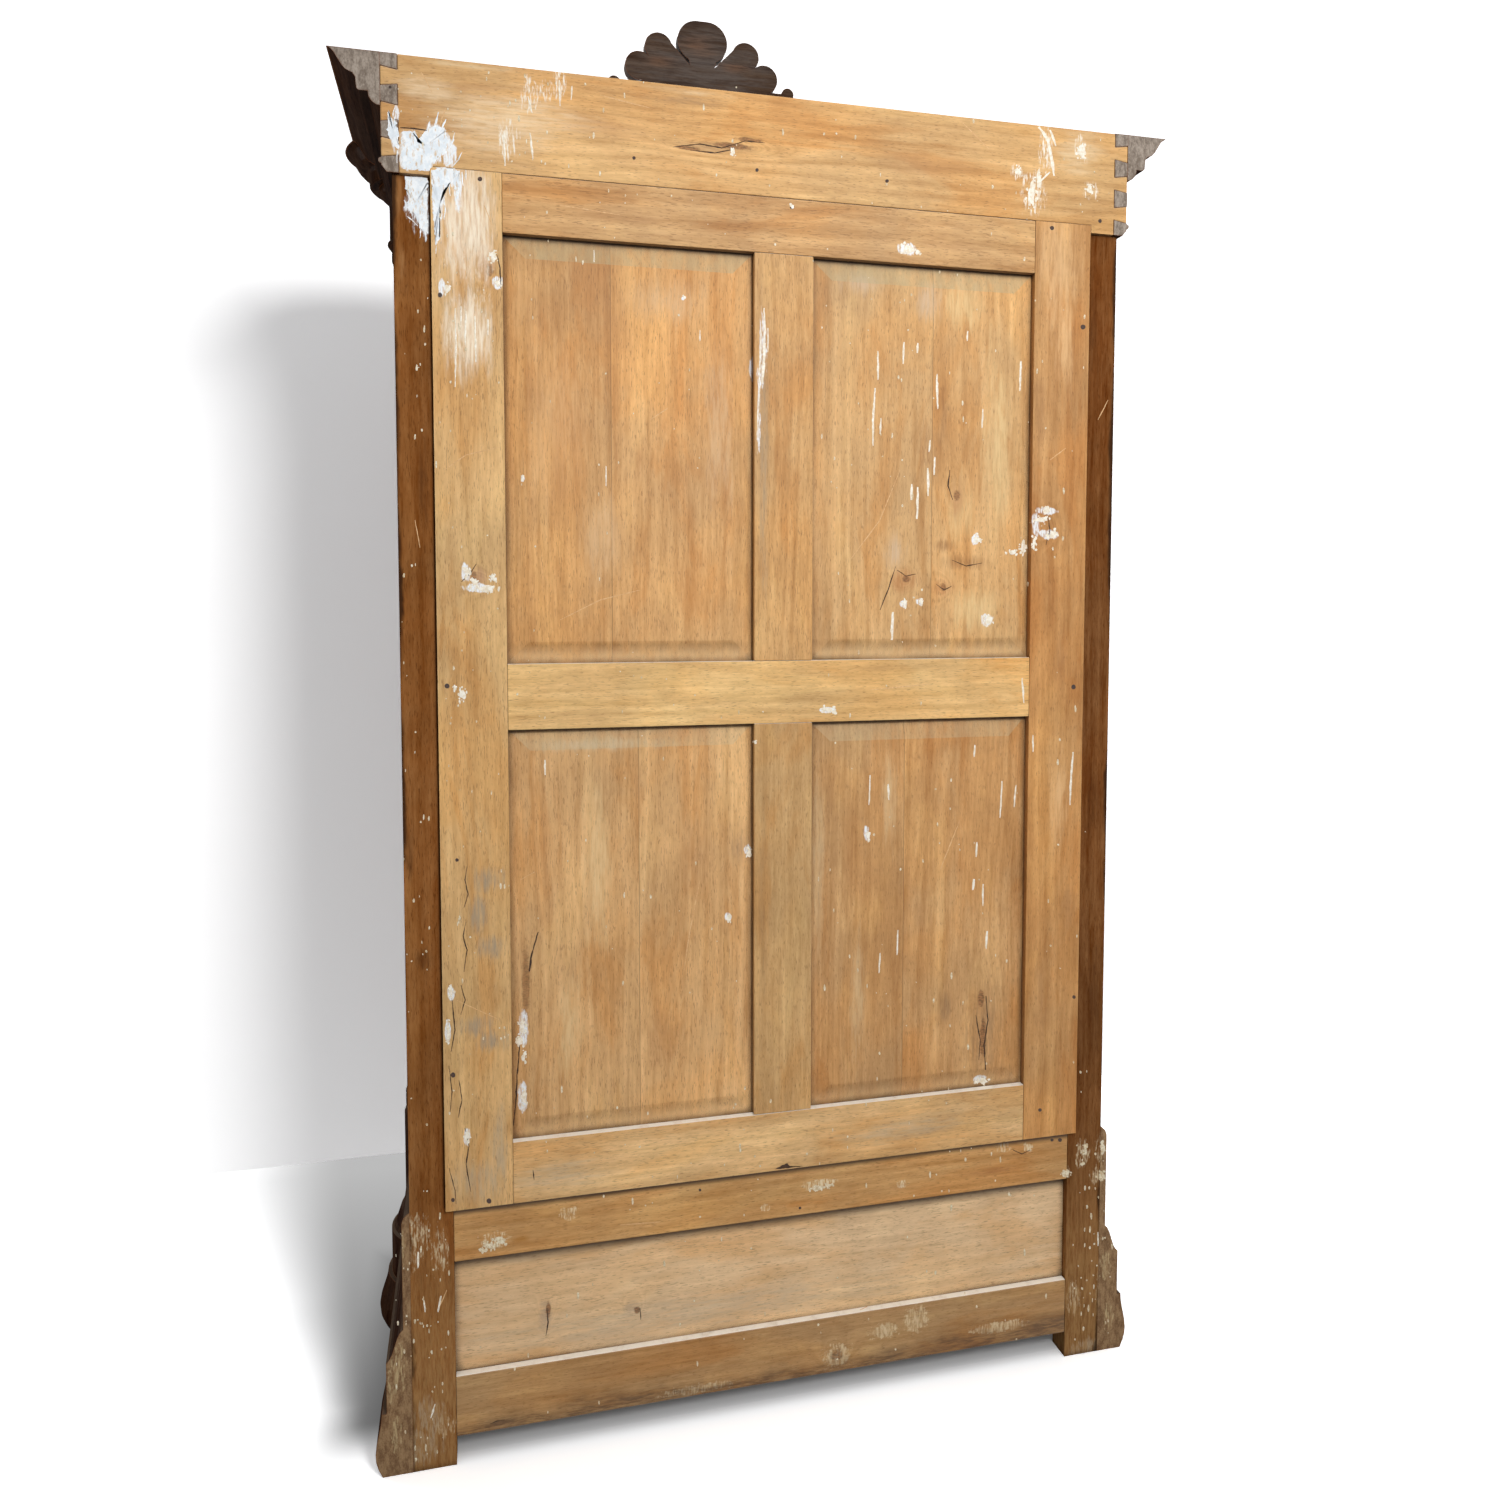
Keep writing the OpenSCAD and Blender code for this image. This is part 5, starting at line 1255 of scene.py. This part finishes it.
def from_foot(t, x, y):
    """How far a place on the floor lies outside the base."""
    middle = (FOOT_FRONT + FOOT_BACK) / 2
    out_x = t.most(t.minus(t.math("ABSOLUTE", x), CASE_HALF), 0.0)
    out_y = t.most(t.minus(t.math("ABSOLUTE", t.minus(y, middle)), FOOT_BACK - middle), 0.0)
    return t.vector("LENGTH", t.node("CombineXYZ", {0: out_x, 1: out_y}).outputs[0])


def glow_shader(t, strength):
    return t.node("Emission", {"Color": (1, 1, 1, 1), "Strength": strength}).outputs[0]


def white_shader(t, seen, level, glow):
    """White that rays which are seen find brighter than those that light the room."""
    total = t.node("AddShader")
    bright = t.grey(level)
    for slot, unseen in enumerate((FLOOR_BOUNCE, 0.0)):
        white = t.mix(seen, (unseen, unseen, unseen, 1), bright)
        t.put(total.inputs[slot], t.node("BsdfDiffuse", {"Color": white}).outputs[0])
    return t.node("AddShader", {0: total.outputs[0], 1: glow_shader(t, t.times(seen, glow))}).outputs[0]


def floor_material():
    """White, with painted shade at the base's foot and the photograph's cast shadow painted in."""
    t = Tree(bpy.data.materials.new("floor_white"))
    place = t.axes(t.node("TexCoord").outputs["Object"])
    x, y = place["X"], place["Y"]
    away = from_foot(t, x, y)
    shade = t.span(away, *FOOT_SHADE)
    seen = t.seen()
    glow = t.times(t.span(away, *GLOW_REACH, FLOOR_GLOW, 1.0), shade)
    white = white_shader(t, seen, t.times(shade, FLOOR_SHINE / 2), glow)
    cast, level = cast_shadow(t, x, y)
    return t.finish(t.either(t.times(cast, seen), white, glow_shader(t, level)))


def wall_material():
    """White that only the camera sees, and only from in front."""
    t = Tree(bpy.data.materials.new("wall_white"))
    white = white_shader(t, t.seen(), t.times(1.0, WALL_SHINE / 2), WALL_GLOW)
    front = t.minus(1.0, t.node("NewGeometry").outputs["Backfacing"])
    shown = t.times(front, t.node("LightPath").outputs["Is Camera Ray"])
    return t.finish(t.either(shown, t.node("BsdfTransparent").outputs[0], white))


def plane(name, corners, material):
    mesh_object(name, corners, [(0, 1, 2, 3)], material)


def make_stage():
    h = FLOOR_HALF
    plane("floor", [(-h, -h, 0), (h, -h, 0), (h, h, 0), (-h, h, 0)], floor_material())
    y = CAD_BOX[0].y - WALL_BEHIND
    start, end = WALL_ENDS
    corners = [(end, y, 0), (start, y, 0), (start, y, WALL_HEIGHT), (end, y, WALL_HEIGHT)]
    plane("backdrop", corners, wall_material())


def lamp(name, place, target, size, watts):
    data = bpy.data.lights.new(name, "AREA")
    data.shape = "DISK"
    data.size = size
    data.energy = watts
    made = bpy.data.objects.new(name, data)
    aim = (Vector(target) - Vector(place)).to_track_quat("-Z", "Y")
    made.matrix_world = Matrix.Translation(Vector(place)) @ aim.to_matrix().to_4x4()
    bpy.context.scene.collection.objects.link(made)


def make_light():
    lamp("key", (-0.44, BACK_Y + 2.6, 2.62), (0, BACK_Y, 1.3), 0.78, 63)
    lamp("front_key", (-0.7, -3.4, 1.3), (0, 0, 1.3), 1.2, 84)
    lamp("side", (-3.6, -0.6, 2.0), (0, 0, 1.3), 1.2, 34)
    lamp("far_side", (3.4, -1.4, 1.8), (0.5, 0, 1.3), 1.2, 30)


def make_world():
    """White where it is seen, and a soft light from above for the rest."""
    world = bpy.data.worlds.new("studio")
    bpy.context.scene.world = world
    t = Tree(world, "OutputWorld")
    height = t.axes(t.node("TexCoord").outputs["Generated"])["Z"]
    strength = t.span(height, *SOFT_HEIGHTS, SOFT_LOW, SOFT_HIGH, smooth=False)
    soft = t.node("Background", {"Color": (0.97, 0.98, 1.0, 1.0), "Strength": strength}).outputs[0]
    white = t.node("Background", {"Color": (1, 1, 1, 1), "Strength": 1.0}).outputs[0]
    t.finish(t.either(t.seen(), soft, white))


make_stage()
make_light()
make_world()
bpy.context.scene.view_settings.view_transform = "Standard"
